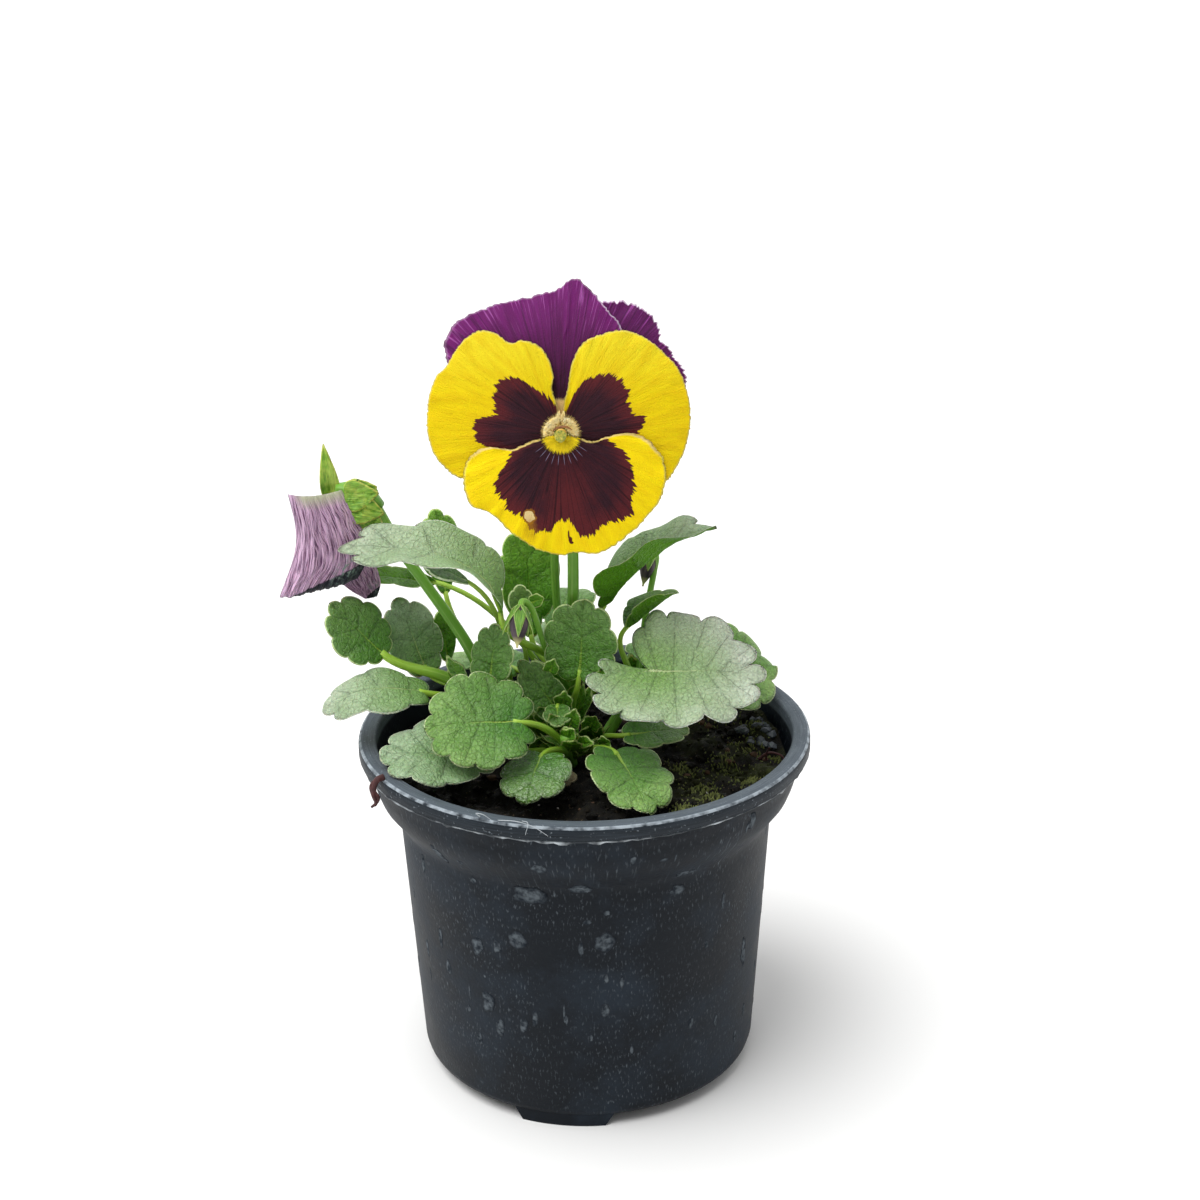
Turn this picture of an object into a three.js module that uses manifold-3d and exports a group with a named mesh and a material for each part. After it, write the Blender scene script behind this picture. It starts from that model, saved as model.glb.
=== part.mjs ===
// A garden pansy in bloom, growing in a round black nursery pot of 12 cm.
// Millimetres, +Z up, origin on the ground under the middle of the pot. -Y is the side that the open
// flower faces. The pot, the compost, the shoots, each leaf, each petal and each bud is a solid of its own.
import * as THREE from "three";
import { mergeVertices } from "three/addons/utils/BufferGeometryUtils.js";
import Module from "manifold-3d";

const wasm = await Module();
wasm.setup();

// Pot, driving sizes
const RIM_RADIUS = 60;
const POT_HEIGHT = 94.5;
const LIP_WIDTH = 4.4;
const LIP_DROP = 3.7;
const WALL = 1.5;
const SHOULDER_RADIUS = 57;
const NECK_RADIUS = 50.2;
const NECK_HEIGHT = 73;
const BASE_RADIUS = 46;
const FOOT_DROP = 3.2;
const FLOOR_THICK = 1.8;
const FOOT_COUNT = 3;
const FOOT_SPAN = THREE.MathUtils.degToRad(28);
const FRONT_FOOT_TURN = THREE.MathUtils.degToRad(-99);
const DRAIN_COUNT = 8;
const DRAIN_RADIUS = 3.5;
const POT_SIDES = 36;

// Compost, and the gap between pieces that lie on each other
const SOIL_LEVEL = 85.5;
const SOIL_RELIEF = 1.3;
const GAP = 0.3;

// Plant
const BLADE_THICK = 0.8;
const PETAL_THICK = 0.7;
const SHOOT_RADIUS = 2.1;
const PETIOLE_RADIUS = 1.05;

const COLOURS = {
  pot: 0x23272c,
  soil: 0x2a251e,
  leaf: 0x5f9140,
  withered: 0x8a6a44,
  shoot: 0x6a9a2c,
  petalYellow: 0xf6d410,
  petalPurple: 0x64205f,
  petalFaded: 0xa07a9d,
  throat: 0xd9c24a,
  sepal: 0x6da335,
};

const vec = (p) => new THREE.Vector3(...p);

// Solids: a closed three.js geometry becomes a manifold-3d solid, and a solid becomes a geometry again.
function solidOf(geometry, flipped = false) {
  const bare = new THREE.BufferGeometry();
  bare.setAttribute("position", geometry.getAttribute("position").clone());
  if (geometry.index) bare.setIndex(geometry.index.clone());
  const merged = mergeVertices(bare, 1e-4);
  const corners = merged.index.array;
  const kept = [];
  for (let i = 0; i < corners.length; i += 3) {
    const [a, b, c] = corners.slice(i, i + 3);
    if (a !== b && b !== c && c !== a) kept.push(a, ...(flipped ? [c, b] : [b, c]));
  }
  const mesh = new wasm.Mesh({
    numProp: 3,
    vertProperties: merged.getAttribute("position").array,
    triVerts: new Uint32Array(kept),
  });
  return new wasm.Manifold(mesh);
}

function geometryOf(solid) {
  const { vertProperties, triVerts, numProp } = solid.getMesh();
  const places = new Float32Array((vertProperties.length / numProp) * 3);
  for (let i = 0; i < places.length / 3; i += 1)
    places.set(vertProperties.slice(i * numProp, i * numProp + 3), i * 3);
  const geometry = new THREE.BufferGeometry();
  geometry.setAttribute("position", new THREE.BufferAttribute(places, 3));
  geometry.setIndex([...triVerts]);
  geometry.computeVertexNormals();
  return geometry;
}

const joined = (solids) => solids.reduce((whole, next) => whole.add(next));

function largestBody(solid) {
  const bodies = solid.decompose();
  return bodies.reduce((best, body) => (body.volume() > best.volume() ? body : best));
}

// A round stem along a curve: a slim extrusion along the curve, and each of its rings is then swelled
// about the curve's point to the radius that it has there.
function stemSolid(curve, radiusAt, { sides = 6, steps = 8 } = {}) {
  const slim = 0.5;
  const corners = Array.from({ length: sides }, (_, i) => {
    const turn = (2 * Math.PI * i) / sides;
    return new THREE.Vector2(slim * Math.cos(turn), slim * Math.sin(turn));
  });
  const options = { steps, bevelEnabled: false, extrudePath: curve };
  const tube = new THREE.ExtrudeGeometry(new THREE.Shape(corners), options);
  const middles = curve.getSpacedPoints(steps);
  const places = tube.getAttribute("position");
  const point = new THREE.Vector3();
  for (let i = 0; i < places.count; i += 1) {
    point.fromBufferAttribute(places, i);
    const distances = middles.map((middle) => middle.distanceTo(point));
    const step = distances.indexOf(Math.min(...distances));
    point.sub(middles[step]).setLength(radiusAt(step / steps)).add(middles[step]);
    places.setXYZ(i, point.x, point.y, point.z);
  }
  return facingOut(tube);
}

// A closed shape with its faces turned outwards, whichever way they were laid.
function facingOut(geometry) {
  const solid = solidOf(geometry);
  return solid.volume() > 0 ? solid : solidOf(geometry, true);
}

// A thin blade: fans and rings between a middle point and an outline, split alike on both faces.
// placeAt(share, index) gives the middle surface's point, and share runs from the middle (0) to the edge (1).
function bladeSolid(placeAt, outlineCount, shares, thickness) {
  const rings = shares.map((share) =>
    Array.from({ length: outlineCount }, (_, i) => placeAt(share, i)),
  );
  const middle = [placeAt(0, 0), ...rings.flat()];
  const faces = [];
  for (let i = 0; i < outlineCount; i += 1) {
    const next = (i + 1) % outlineCount;
    faces.push([0, 1 + i, 1 + next]);
    for (let ring = 0; ring + 1 < rings.length; ring += 1) {
      const inner = 1 + ring * outlineCount;
      const outer = inner + outlineCount;
      faces.push([inner + i, outer + i, outer + next], [inner + i, outer + next, inner + next]);
    }
  }
  const sheet = new THREE.BufferGeometry().setFromPoints(middle);
  sheet.setIndex(faces.flat());
  sheet.computeVertexNormals();
  const normals = sheet.getAttribute("normal");
  const shifted = (side) =>
    middle.map((p, i) =>
      new THREE.Vector3().fromBufferAttribute(normals, i).multiplyScalar(side * 0.5 * thickness).add(p),
    );
  const under = middle.length;
  const edge = 1 + (rings.length - 1) * outlineCount;
  const walls = [];
  for (let i = 0; i < outlineCount; i += 1) {
    const a = edge + i;
    const b = edge + ((i + 1) % outlineCount);
    walls.push([a, under + a, under + b], [a, under + b, b]);
  }
  const closed = new THREE.BufferGeometry().setFromPoints([...shifted(1), ...shifted(-1)]);
  const backs = faces.map(([a, b, c]) => [under + a, under + c, under + b]);
  closed.setIndex([...faces, ...backs, ...walls].flat());
  return facingOut(closed);
}

// Pot: one lathed shell with its rolled lip, shoulder, neck and floor, three feet under the edge of
// the floor, and drain holes through the floor.
function potSolid() {
  const floorTop = FOOT_DROP + FLOOR_THICK;
  const outside = [
    [0, FOOT_DROP],
    [BASE_RADIUS - 1.6, FOOT_DROP],
    [BASE_RADIUS, FOOT_DROP + 1.8],
    [NECK_RADIUS - 0.2, NECK_HEIGHT - 1.6],
    [NECK_RADIUS + 0.9, NECK_HEIGHT + 0.9],
    [SHOULDER_RADIUS - 1.6, NECK_HEIGHT + 7.2],
    [SHOULDER_RADIUS, NECK_HEIGHT + 12.2],
    [SHOULDER_RADIUS + 0.2, POT_HEIGHT - LIP_DROP],
    [RIM_RADIUS + 0.1, POT_HEIGHT - LIP_DROP],
    [RIM_RADIUS, POT_HEIGHT - 0.7],
    [RIM_RADIUS - 0.7, POT_HEIGHT],
  ];
  const inside = [
    [RIM_RADIUS - LIP_WIDTH, POT_HEIGHT],
    [RIM_RADIUS - LIP_WIDTH - 0.3, POT_HEIGHT - 0.8],
    [SHOULDER_RADIUS - WALL, NECK_HEIGHT + 12.2],
    [SHOULDER_RADIUS - 1.9 - WALL, NECK_HEIGHT + 7.6],
    [NECK_RADIUS + 0.5 - WALL, NECK_HEIGHT + 1.2],
    [NECK_RADIUS - 0.3 - WALL, NECK_HEIGHT - 1.6],
    [BASE_RADIUS - WALL, floorTop],
    [0, floorTop],
  ];
  const profile = [...outside, ...inside].map(([r, z]) => new THREE.Vector2(r, z));
  const shell = new THREE.LatheGeometry(profile, POT_SIDES).rotateX(Math.PI / 2);
  const pot = joined([solidOf(shell), ...feetSolids()]);
  return drainSolids().reduce((left, hole) => left.subtract(hole), pot);
}

// A foot is an arc of ring under the floor's edge, with sloped ends.
function feetSolids() {
  const outer = BASE_RADIUS - 0.6;
  const inner = outer - 6;
  const slope = THREE.MathUtils.degToRad(3.5);
  const steps = 6;
  return Array.from({ length: FOOT_COUNT }, (_, foot) => {
    const block = new THREE.BoxGeometry(outer - inner, FOOT_SPAN, FOOT_DROP + 1, 1, steps, 1);
    const places = block.getAttribute("position");
    for (let i = 0; i < places.count; i += 1) {
      const low = places.getZ(i) < 0;
      const radius = (outer + inner) / 2 + places.getX(i);
      const spread = low ? 1 : 1 + (2 * slope) / FOOT_SPAN;
      const angle = FRONT_FOOT_TURN + (foot * 2 * Math.PI) / FOOT_COUNT + places.getY(i) * spread;
      places.setXYZ(i, radius * Math.cos(angle), radius * Math.sin(angle), low ? 0 : FOOT_DROP + 1);
    }
    return solidOf(block);
  });
}

function drainSolids() {
  const rim = Array.from({ length: DRAIN_COUNT }, (_, i) => {
    const angle = FRONT_FOOT_TURN + ((i + 0.5) * 2 * Math.PI) / DRAIN_COUNT;
    return [30 * Math.cos(angle), 30 * Math.sin(angle)];
  });
  return [[0, 0], ...rim].map(([x, y]) => {
    const hole = new THREE.CylinderGeometry(DRAIN_RADIUS, DRAIN_RADIUS, 4 * FLOOR_THICK, 8);
    return solidOf(hole.rotateX(Math.PI / 2).translate(x, y, FOOT_DROP));
  });
}

// Compost: it fills the pot to a finger under the rim, and its top is uneven.
const soilTop = (x, y) =>
  SOIL_LEVEL +
  0.03 * x +
  SOIL_RELIEF * (Math.sin(0.21 * x + 0.9) * Math.cos(0.17 * y) + 0.5 * Math.sin(0.33 * y + 0.24 * x));

function soilSolid() {
  const inset = WALL + GAP;
  const profile = [
    [0, FOOT_DROP + FLOOR_THICK + GAP],
    [BASE_RADIUS - inset - 0.2, FOOT_DROP + FLOOR_THICK + GAP],
    [NECK_RADIUS - 0.4 - inset, NECK_HEIGHT - 1.8],
    [NECK_RADIUS + 0.2 - inset, NECK_HEIGHT + 1.4],
    [SHOULDER_RADIUS - 2.4 - inset, NECK_HEIGHT + 7.8],
    [SHOULDER_RADIUS - 1.2 - inset, SOIL_LEVEL - 3],
    [SHOULDER_RADIUS - 0.9 - inset, SOIL_LEVEL],
    [36, SOIL_LEVEL],
    [17, SOIL_LEVEL],
    [0, SOIL_LEVEL],
  ].map(([r, z]) => new THREE.Vector2(r, z));
  const body = new THREE.LatheGeometry(profile, 24).rotateX(Math.PI / 2);
  const places = body.getAttribute("position");
  for (let i = 0; i < places.count; i += 1)
    if (places.getZ(i) > SOIL_LEVEL - 0.1)
      places.setZ(i, soilTop(places.getX(i), places.getY(i)));
  return solidOf(body);
}

// Shoots: the crown with its tap root, and the leafy shoots that branch from it.
const SHOOTS = [
  { path: [[-3, 3, 72], [-3, 3, 84], [-4, 5, 98], [-5, 6, 112]], from: 2.5, to: 1.5 },
  { path: [[-4, 3, 80], [-12, 2, 90], [-23, 1, 100], [-33, -1, 107]], from: SHOOT_RADIUS, to: 1.8 },
  { path: [[-2, 3, 80], [6, 4, 90], [12, 6, 100], [15, 7.5, 107]], from: SHOOT_RADIUS, to: 1.4 },
  { path: [[-3, 1, 80], [-4, -6, 87], [-5, -12, 93], [-5, -14, 98]], from: SHOOT_RADIUS, to: 1.6 },
  { path: [[-3, 5, 80], [-4, 14, 90], [-5, 23, 98]], from: SHOOT_RADIUS, to: 1.5 },
];

function shootSolid(grown = 0) {
  const tubes = SHOOTS.map(({ path, from, to }) => {
    const curve = new THREE.CatmullRomCurve3(path.map(vec));
    return stemSolid(curve, (t) => from + (to - from) * t + grown, { sides: 6, steps: 6 });
  });
  return joined(tubes);
}

// Leaves. joint is where the stalk meets the blade. azimuth and pitch give the way that the midrib
// sets out, roll turns the blade about it, and bend is how far the midrib turns up (or down) by its tip.
// fold lifts the two halves of the blade from the midrib, at the joint and at the tip. heart is a point
// of the flat blade from which its whole edge is in sight.
const LEAVES = [
  { name: "leaf_front_round", root: [-5, -12, 94], joint: [-17, -21, 105], azimuth: -166, pitch: 8,
    roll: -42, length: 24, width: 28, lobe: 0.24, fold: [0.2, 0.1], bend: -18, teeth: 11 },
  { name: "leaf_rim_left", root: [-4.5, -8, 89], joint: [-27, -22, 96], azimuth: -174, pitch: 9,
    roll: -18, length: 25.5, width: 25, lobe: 0.2, fold: [0.12, 0], bend: -8, teeth: 9 },
  { name: "leaf_front_small", root: [-5, -12, 92], joint: [-11, -22, 96], azimuth: -104, pitch: -2,
    roll: 4, length: 18, width: 19, lobe: 0.15, fold: [0.1, -0.2], bend: -32, teeth: 7 },
  { name: "leaf_front_right", root: [-3.4, -8, 89], joint: [8, -18, 94.5], azimuth: -72, pitch: -2,
    roll: -4, length: 26, width: 22, lobe: 0.18, fold: [0.12, 0.05], bend: -20, teeth: 9 },
  { name: "leaf_low_right", root: [4, 4, 88], joint: [11, -6, 94], azimuth: 4, pitch: 8,
    roll: 12, length: 17, width: 15, lobe: 0.1, fold: [0.15, 0.1], bend: -12, teeth: 7 },
  { name: "leaf_right_big", root: [11, 5, 98], joint: [17, -14, 115.3], azimuth: -4, pitch: 4,
    roll: 27, length: 30, width: 40, lobe: 0.5, skew: 0.5, middle: 0.2, fold: [0.14, 0.05], bend: -14,
    teeth: 13, open: 0.483, heart: [9, -7] },
  { name: "leaf_right_back", root: [14.4, 7.2, 104], joint: [29, 10, 105.5], azimuth: 12, pitch: 5,
    roll: 35, length: 26, width: 30, lobe: 0.12, fold: [0.1, -0.1], bend: -26, teeth: 9 },
  { name: "leaf_centre", root: [-3.6, 4, 96], joint: [-1.1, -7.4, 112.3], azimuth: 62, pitch: 78,
    roll: 6, length: 20, width: 21.5, lobe: 0.16, fold: [0.2, 0.1], bend: 10, teeth: 9 },
  { name: "leaf_centre_left", root: [-14, 1.8, 92], joint: [-24.5, -9, 111], azimuth: 70, pitch: 64,
    roll: -6, length: 15.5, width: 13, lobe: 0.14, fold: [0.2, 0.1], bend: 10, teeth: 9 },
  { name: "leaf_left_upper", root: [-4.6, 5.6, 108], joint: [-21.2, -6.5, 128.4], azimuth: 181, pitch: 92,
    roll: -9, length: 51, width: 22, lobe: 0, fold: [0.7, 0.08], bend: -94, teeth: 9, early: 2.7,
    twist: -32, middle: 0.35 },
  { name: "leaf_left_back", root: [-20, 1.3, 97.5], joint: [-37.2, 21.6, 124], azimuth: 120, pitch: 70,
    roll: 10, length: 24, width: 15, lobe: 0, fold: [0.3, 0.2], bend: 15, teeth: 7 },
  { name: "leaf_left_under", root: [-4.3, 5, 97], joint: [-39, 17, 129.5], azimuth: 172, pitch: 12,
    roll: 45, length: 19, width: 14, lobe: 0, fold: [0.1, 0], bend: -14, teeth: 7 },
  { name: "leaf_left_narrow", root: [-18, 1.5, 96], joint: [-29, 3, 134], azimuth: -165, pitch: 36,
    roll: -30, length: 14, width: 7, lobe: 0, fold: [0.2, 0.1], bend: -20, teeth: 5 },
  { name: "leaf_left_dark", root: [-32, -1, 106.4], joint: [-52.5, 1.5, 114.8], azimuth: 172, pitch: 44,
    roll: -38, length: 20, width: 18, lobe: 0.04, fold: [0.15, 0], bend: 8, teeth: 9 },
  { name: "leaf_left_mid", root: [-27, 0.2, 103], joint: [-42.5, 9, 107.5], azimuth: 135, pitch: 58,
    roll: -12, length: 21, width: 17, lobe: 0.1, fold: [0.15, 0.1], bend: 6, teeth: 7 },
  { name: "leaf_left_mid_back", root: [-16, 1.6, 94], joint: [-37, 17, 106], azimuth: 120, pitch: 76,
    roll: 0, length: 15, width: 9, lobe: 0, fold: [0.2, 0.1], bend: 5, teeth: 5 },
  { name: "leaf_left_low", root: [-22, 1, 99], joint: [-42, -6.5, 107.4], azimuth: -164, pitch: 22,
    roll: -20, length: 29, width: 18, lobe: 0.1, fold: [0.05, -0.2], bend: -85, teeth: 7, early: 0.5 },
  { name: "leaf_right_upper", root: [-4.2, 4.8, 101], joint: [5.2, 7.2, 125], azimuth: -24, pitch: 57,
    roll: 12, length: 41, width: 26, lobe: 0, middle: 0.28, fold: [1, 0.35], bend: -41, teeth: 7,
    early: 0.75, twist: -9 },
  { name: "leaf_right_mid", root: [13.6, 6.8, 102], joint: [11, 6, 119.5], azimuth: 12, pitch: 38,
    roll: -14, length: 17.5, width: 17, lobe: 0, middle: 0.32, fold: [1.2, 0.5], bend: -10, teeth: 5 },
  { name: "leaf_centre_back", root: [-4.6, 5.6, 104], joint: [-14, 14, 114], azimuth: 98, pitch: 74,
    roll: 0, length: 31, width: 18, lobe: 0, fold: [0.3, 0.2], bend: 8, teeth: 9 },
  { name: "leaf_upright_small", root: [-12, 2, 90], joint: [-16, 3, 122], azimuth: 100, pitch: 76,
    roll: 0, length: 11, width: 7, lobe: 0, fold: [0.2, 0.1], bend: 0, teeth: 5 },
  { name: "leaf_inner_upper", root: [-3.2, 3, 88], joint: [-5, -4.5, 98], azimuth: 180, pitch: 55,
    roll: -60, length: 21, width: 11, lobe: 0.1, fold: [0.2, 0.1], bend: 5, teeth: 7 },
  { name: "leaf_inner_low", root: [-4.8, -9.5, 91], joint: [-7, -9.5, 104.5], azimuth: -90, pitch: -20,
    roll: 0, length: 7, width: 8, lobe: 0.1, fold: [0.1, 0], bend: -16, teeth: 5 },
  { name: "leaf_withered", root: [-4, -7, 88], joint: [-6.5, -19, 91.5], azimuth: -82, pitch: -8,
    roll: 0, length: 8, width: 8, lobe: 0, fold: [0.1, 0], bend: -10, teeth: 5 },
  { name: "leaf_rear_left", root: [-4.4, 17, 93], joint: [-20, 28, 100], azimuth: 142, pitch: 8,
    roll: 0, length: 24, width: 21, lobe: 0.2, fold: [0.15, 0.05], bend: -22, teeth: 9 },
  { name: "leaf_rear_middle", root: [-4.8, 21, 96], joint: [-4, 32, 104], azimuth: 94, pitch: 12,
    roll: 0, length: 25, width: 23, lobe: 0.22, fold: [0.15, 0.05], bend: -30, teeth: 9 },
  { name: "leaf_rear_right", root: [-4.2, 15, 91.5], joint: [17, 28, 101], azimuth: 42, pitch: 10,
    roll: 0, length: 26, width: 23, lobe: 0.2, fold: [0.15, 0.05], bend: -28, teeth: 9 },
  { name: "leaf_rear_upper", root: [-3.7, 4.4, 93], joint: [-6, 27, 112], azimuth: 84, pitch: 30,
    roll: 0, length: 24, width: 18, lobe: 0.08, fold: [0.3, 0.1], bend: -40, teeth: 9 },
];

const widestAt = ({ length, lobe, middle }) => (middle ?? (lobe > 0 ? 0.42 : 0.56)) * length;

// The flat outline of a blade, with its teeth. turn runs once round from the tip, x runs along the
// midrib from the joint, and lobe is how far the two halves reach back behind the joint.
function leafOutline(leaf, turn) {
  const { length, width, lobe, teeth, skew = 0, open = 0 } = leaf;
  const widest = widestAt(leaf);
  const behind = widest + lobe * length * (1 - skew * Math.sin(turn));
  const ahead = Math.cos(turn) > 0 ? length - widest : behind;
  const sinus = Math.exp(-(((turn - Math.PI + open) / 0.2) ** 2));
  const narrowing = lobe > 0 ? 1 : 1 - 0.45 * Math.max(0, -Math.cos(turn)) ** 1.5;
  const notch = 1 - Math.abs(Math.cos((teeth * turn) / 2)) ** 0.6;
  const scallop = 1 - 0.1 * notch * (1 - sinus);
  const x = widest + ahead * Math.cos(turn) * scallop;
  const y = 0.5 * width * Math.sin(turn) * narrowing * scallop;
  return [x * (1 - sinus), y * (1 - sinus)];
}

// The blade's own frame: x along the midrib, y to its left and z out of its upper face.
function leafFrame({ azimuth, pitch, roll }) {
  const [a, p, r] = [azimuth, pitch, roll].map(THREE.MathUtils.degToRad);
  const along = new THREE.Vector3(Math.cos(p) * Math.cos(a), Math.cos(p) * Math.sin(a), Math.sin(p));
  const level = new THREE.Vector3(-Math.sin(a), Math.cos(a), 0);
  const over = new THREE.Vector3().crossVectors(along, level);
  const across = level.clone().multiplyScalar(Math.cos(r)).addScaledVector(over, Math.sin(r));
  const up = new THREE.Vector3().crossVectors(along, across);
  return { along, across, up };
}

// How far the midrib has come forward and up at x, and how far it has turned there. early is above 1
// where it turns mostly near the joint, and below 1 where it turns mostly near the tip.
function midribAt({ length, bend, early = 1 }, x) {
  const whole = THREE.MathUtils.degToRad(bend);
  const turnAt = (at) => whole * (1 - (1 - THREE.MathUtils.clamp(at / length, 0, 1)) ** early);
  const steps = 12;
  let [forward, raised] = [0, 0];
  for (let i = 0; i < steps; i += 1) {
    const turn = turnAt(((i + 0.5) / steps) * x);
    forward += (Math.cos(turn) * x) / steps;
    raised += (Math.sin(turn) * x) / steps;
  }
  return { forward, raised, turned: turnAt(x) };
}

// Sets a flat point of the blade in space: the halves fold up, and the whole bends about the midrib's arc.
function leafPlace(leaf, [x, y], share) {
  const { along, across, up } = leafFrame(leaf);
  const reach = THREE.MathUtils.clamp(x / leaf.length, 0, 1);
  const fold = leaf.fold[0] + (leaf.fold[1] - leaf.fold[0]) * reach;
  const softness = 1.5;
  const level = Math.cos(Math.atan(fold)) * y;
  const lift = Math.sin(Math.atan(fold)) * (Math.hypot(y, softness) - softness);
  const cup = x < 0 ? 0.012 * x * x : 0;
  const wave = cup + 0.03 * leaf.width * share * share * Math.sin(0.42 * x + (y > 0 ? 0.8 : 2.6));
  const twist = THREE.MathUtils.degToRad(leaf.twist ?? 0) * reach;
  const side = level * Math.cos(twist) - (lift + wave) * Math.sin(twist);
  const z = level * Math.sin(twist) + (lift + wave) * Math.cos(twist);
  const { forward, raised, turned } = midribAt(leaf, x);
  return vec(leaf.joint)
    .addScaledVector(along, forward - z * Math.sin(turned))
    .addScaledVector(across, side)
    .addScaledVector(up, raised + z * Math.cos(turned));
}

function stalkCurve(leaf) {
  const { along, up } = leafFrame(leaf);
  const root = vec(leaf.root);
  const joint = vec(leaf.joint);
  const span = root.distanceTo(joint);
  const rise = new THREE.Vector3(0, 0, 0.14 * span).add(joint.clone().sub(root).multiplyScalar(0.3));
  const leave = root.clone().add(rise);
  const back = leaf.lobe > 0.3 ? along.clone().addScaledVector(up, 2).normalize() : along;
  const arrive = joint.clone().addScaledVector(back, -0.32 * span);
  const end = joint.clone().addScaledVector(along, 1.2);
  return new THREE.CubicBezierCurve3(root, leave, arrive, end);
}

function leafSolid(leaf) {
  const perTooth = 3;
  const count = leaf.teeth * perTooth;
  const notchTurn = Math.PI / leaf.teeth;
  const [heartX, heartY] = leaf.heart ?? [widestAt(leaf), 0];
  const flat = (share, i) => {
    const [x, y] = leafOutline(leaf, notchTurn + (2 * Math.PI * i) / count);
    return leafPlace(leaf, [heartX + (x - heartX) * share, heartY + (y - heartY) * share], share);
  };
  const shares = leaf.length > 15 ? [0.55, 1] : [1];
  const blade = bladeSolid(flat, count, shares, BLADE_THICK);
  const thin = Math.min(1, 0.55 + leaf.length / 60);
  const radiusAt = (t) => PETIOLE_RADIUS * thin * (1.15 - 0.45 * t);
  const stalk = stemSolid(stalkCurve(leaf), radiusAt, { sides: 5, steps: 4 });
  return blade.add(stalk);
}

// Flower. Its face has a frame of its own: right and up across the face, and out towards the viewer.
// Petal outlines are in that frame, in mm from the middle of the face, heart is a point from which a
// petal's whole edge is in sight, and each petal lies a step further out than the one behind it.
const FACE = { middle: [-4.7, -12, 178], lean: 12 };
const PETALS = [
  { name: "petal_upper_right", step: -3.5, colour: "petalPurple", heart: [14, 16], ruffle: [0.5, 5],
    outline: [[1, 1.5], [1, 12], [2, 22], [8, 31], [16, 32], [22, 29.5], [24.6, 25.4], [24.6, 21.6],
      [27.8, 17.2], [30.5, 12.6], [26, 6], [14, 2]] },
  { name: "petal_upper_left", step: -1.6, colour: "petalPurple", heart: [-1, 20], ruffle: [0.5, 6],
    outline: [[0, 1.5], [-10, 8], [-24, 13], [-27.5, 17], [-28.5, 22], [-26, 27], [-18, 31], [-7, 33.5],
      [0, 35.5], [3.8, 38], [8, 35], [12, 30], [15, 26], [13, 16], [5, 6]] },
  { name: "petal_side_left", step: -0.1, colour: "petalYellow", heart: [-17, 6], ruffle: [0.25, 5],
    outline: [[-0.9, 2], [-2, 8.5], [-1.6, 14.5], [-4.5, 21], [-9.5, 22.9], [-12, 22.2], [-16, 24.8],
      [-20.5, 25.2], [-25.5, 21], [-28, 16.8], [-30.8, 14], [-33, 6], [-32.6, -2], [-30, -7],
      [-25, -10.8], [-14, -9], [-5, -3.4]] },
  { name: "petal_side_right", step: -0.1, colour: "petalYellow", heart: [17, 6], ruffle: [0.25, 4],
    outline: [[0.9, 2], [2, 9], [2.6, 16], [5.5, 21.8], [10, 24], [15.5, 25], [20.5, 23.4], [25.5, 19.6],
      [29.6, 14.6], [32, 6], [31.6, -1], [29, -8], [25, -12.6], [15, -9.5], [5, -3.4]] },
  { name: "petal_lower", step: 1.4, colour: "petalYellow", heart: [2, -15], ruffle: [0.3, 9],
    outline: [[0, -1.8], [-5, -1.3], [-9.5, -2.6], [-12.5, -3.6], [-18, -3], [-22.5, -5.4], [-24.4, -11],
      [-22.6, -17.2], [-17.6, -19.6], [-13, -24], [-6, -28.8], [0, -30.2], [3.6, -29.6], [9, -29.8],
      [15, -26.4], [20.4, -21.6], [24.6, -16], [25.9, -10.5], [24.6, -5.4], [20, -1], [16, 0],
      [11.5, -0.8], [8, -2], [4, -1.3]] },
];

const FACE_FRAME = (() => {
  const lean = THREE.MathUtils.degToRad(FACE.lean);
  return {
    right: new THREE.Vector3(1, 0, 0),
    up: new THREE.Vector3(0, Math.sin(lean), Math.cos(lean)),
    out: new THREE.Vector3(0, -Math.cos(lean), Math.sin(lean)),
  };
})();

const facePoint = (x, y, out) =>
  vec(FACE.middle)
    .addScaledVector(FACE_FRAME.right, x)
    .addScaledVector(FACE_FRAME.up, y)
    .addScaledVector(FACE_FRAME.out, out);

// The face is a shallow dome: it falls back towards its edge, and the upper petals lean back further.
const faceDome = (x, y) => -0.0035 * (x * x + y * y) - (y > 8 ? 0.004 * (y - 8) ** 2 : 0);

function petalSolid({ step, heart, ruffle, outline }) {
  const curve = new THREE.CatmullRomCurve3(
    outline.map(([x, y]) => new THREE.Vector3(x, y, 0)), true, "centripetal");
  const count = 32;
  const edge = curve.getSpacedPoints(count).slice(0, count);
  const middle = vec([...heart, 0]);
  const [height, waves] = ruffle;
  const place = (share, i) => {
    const p = middle.clone().lerp(edge[i], share);
    const turn = Math.atan2(p.y, p.x);
    const wave = height * share ** 3 * Math.sin(waves * turn);
    return facePoint(p.x, p.y, step + faceDome(p.x, p.y) + wave);
  };
  return bladeSolid(place, count, [0.6, 1], PETAL_THICK);
}

// The throat: the pale tube in the middle of the face with the stigma in its mouth, and the spur behind.
function throatSolid(grown = 0) {
  const line = new THREE.CatmullRomCurve3([
    facePoint(0, 0, 2.6), facePoint(0, -0.2, -1), facePoint(0, -0.6, -4.6),
  ]);
  return stemSolid(line, (t) => 1.5 - 0.5 * Math.abs(0.4 - t) + grown, { sides: 10, steps: 5 });
}

function spurSolid() {
  const line = new THREE.CatmullRomCurve3([
    facePoint(0, -2, -8), facePoint(0, -3.6, -11.5), facePoint(0, -3, -15),
  ]);
  return stemSolid(line, (t) => 1.5 - 0.6 * t * t, { sides: 8, steps: 4 });
}

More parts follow.
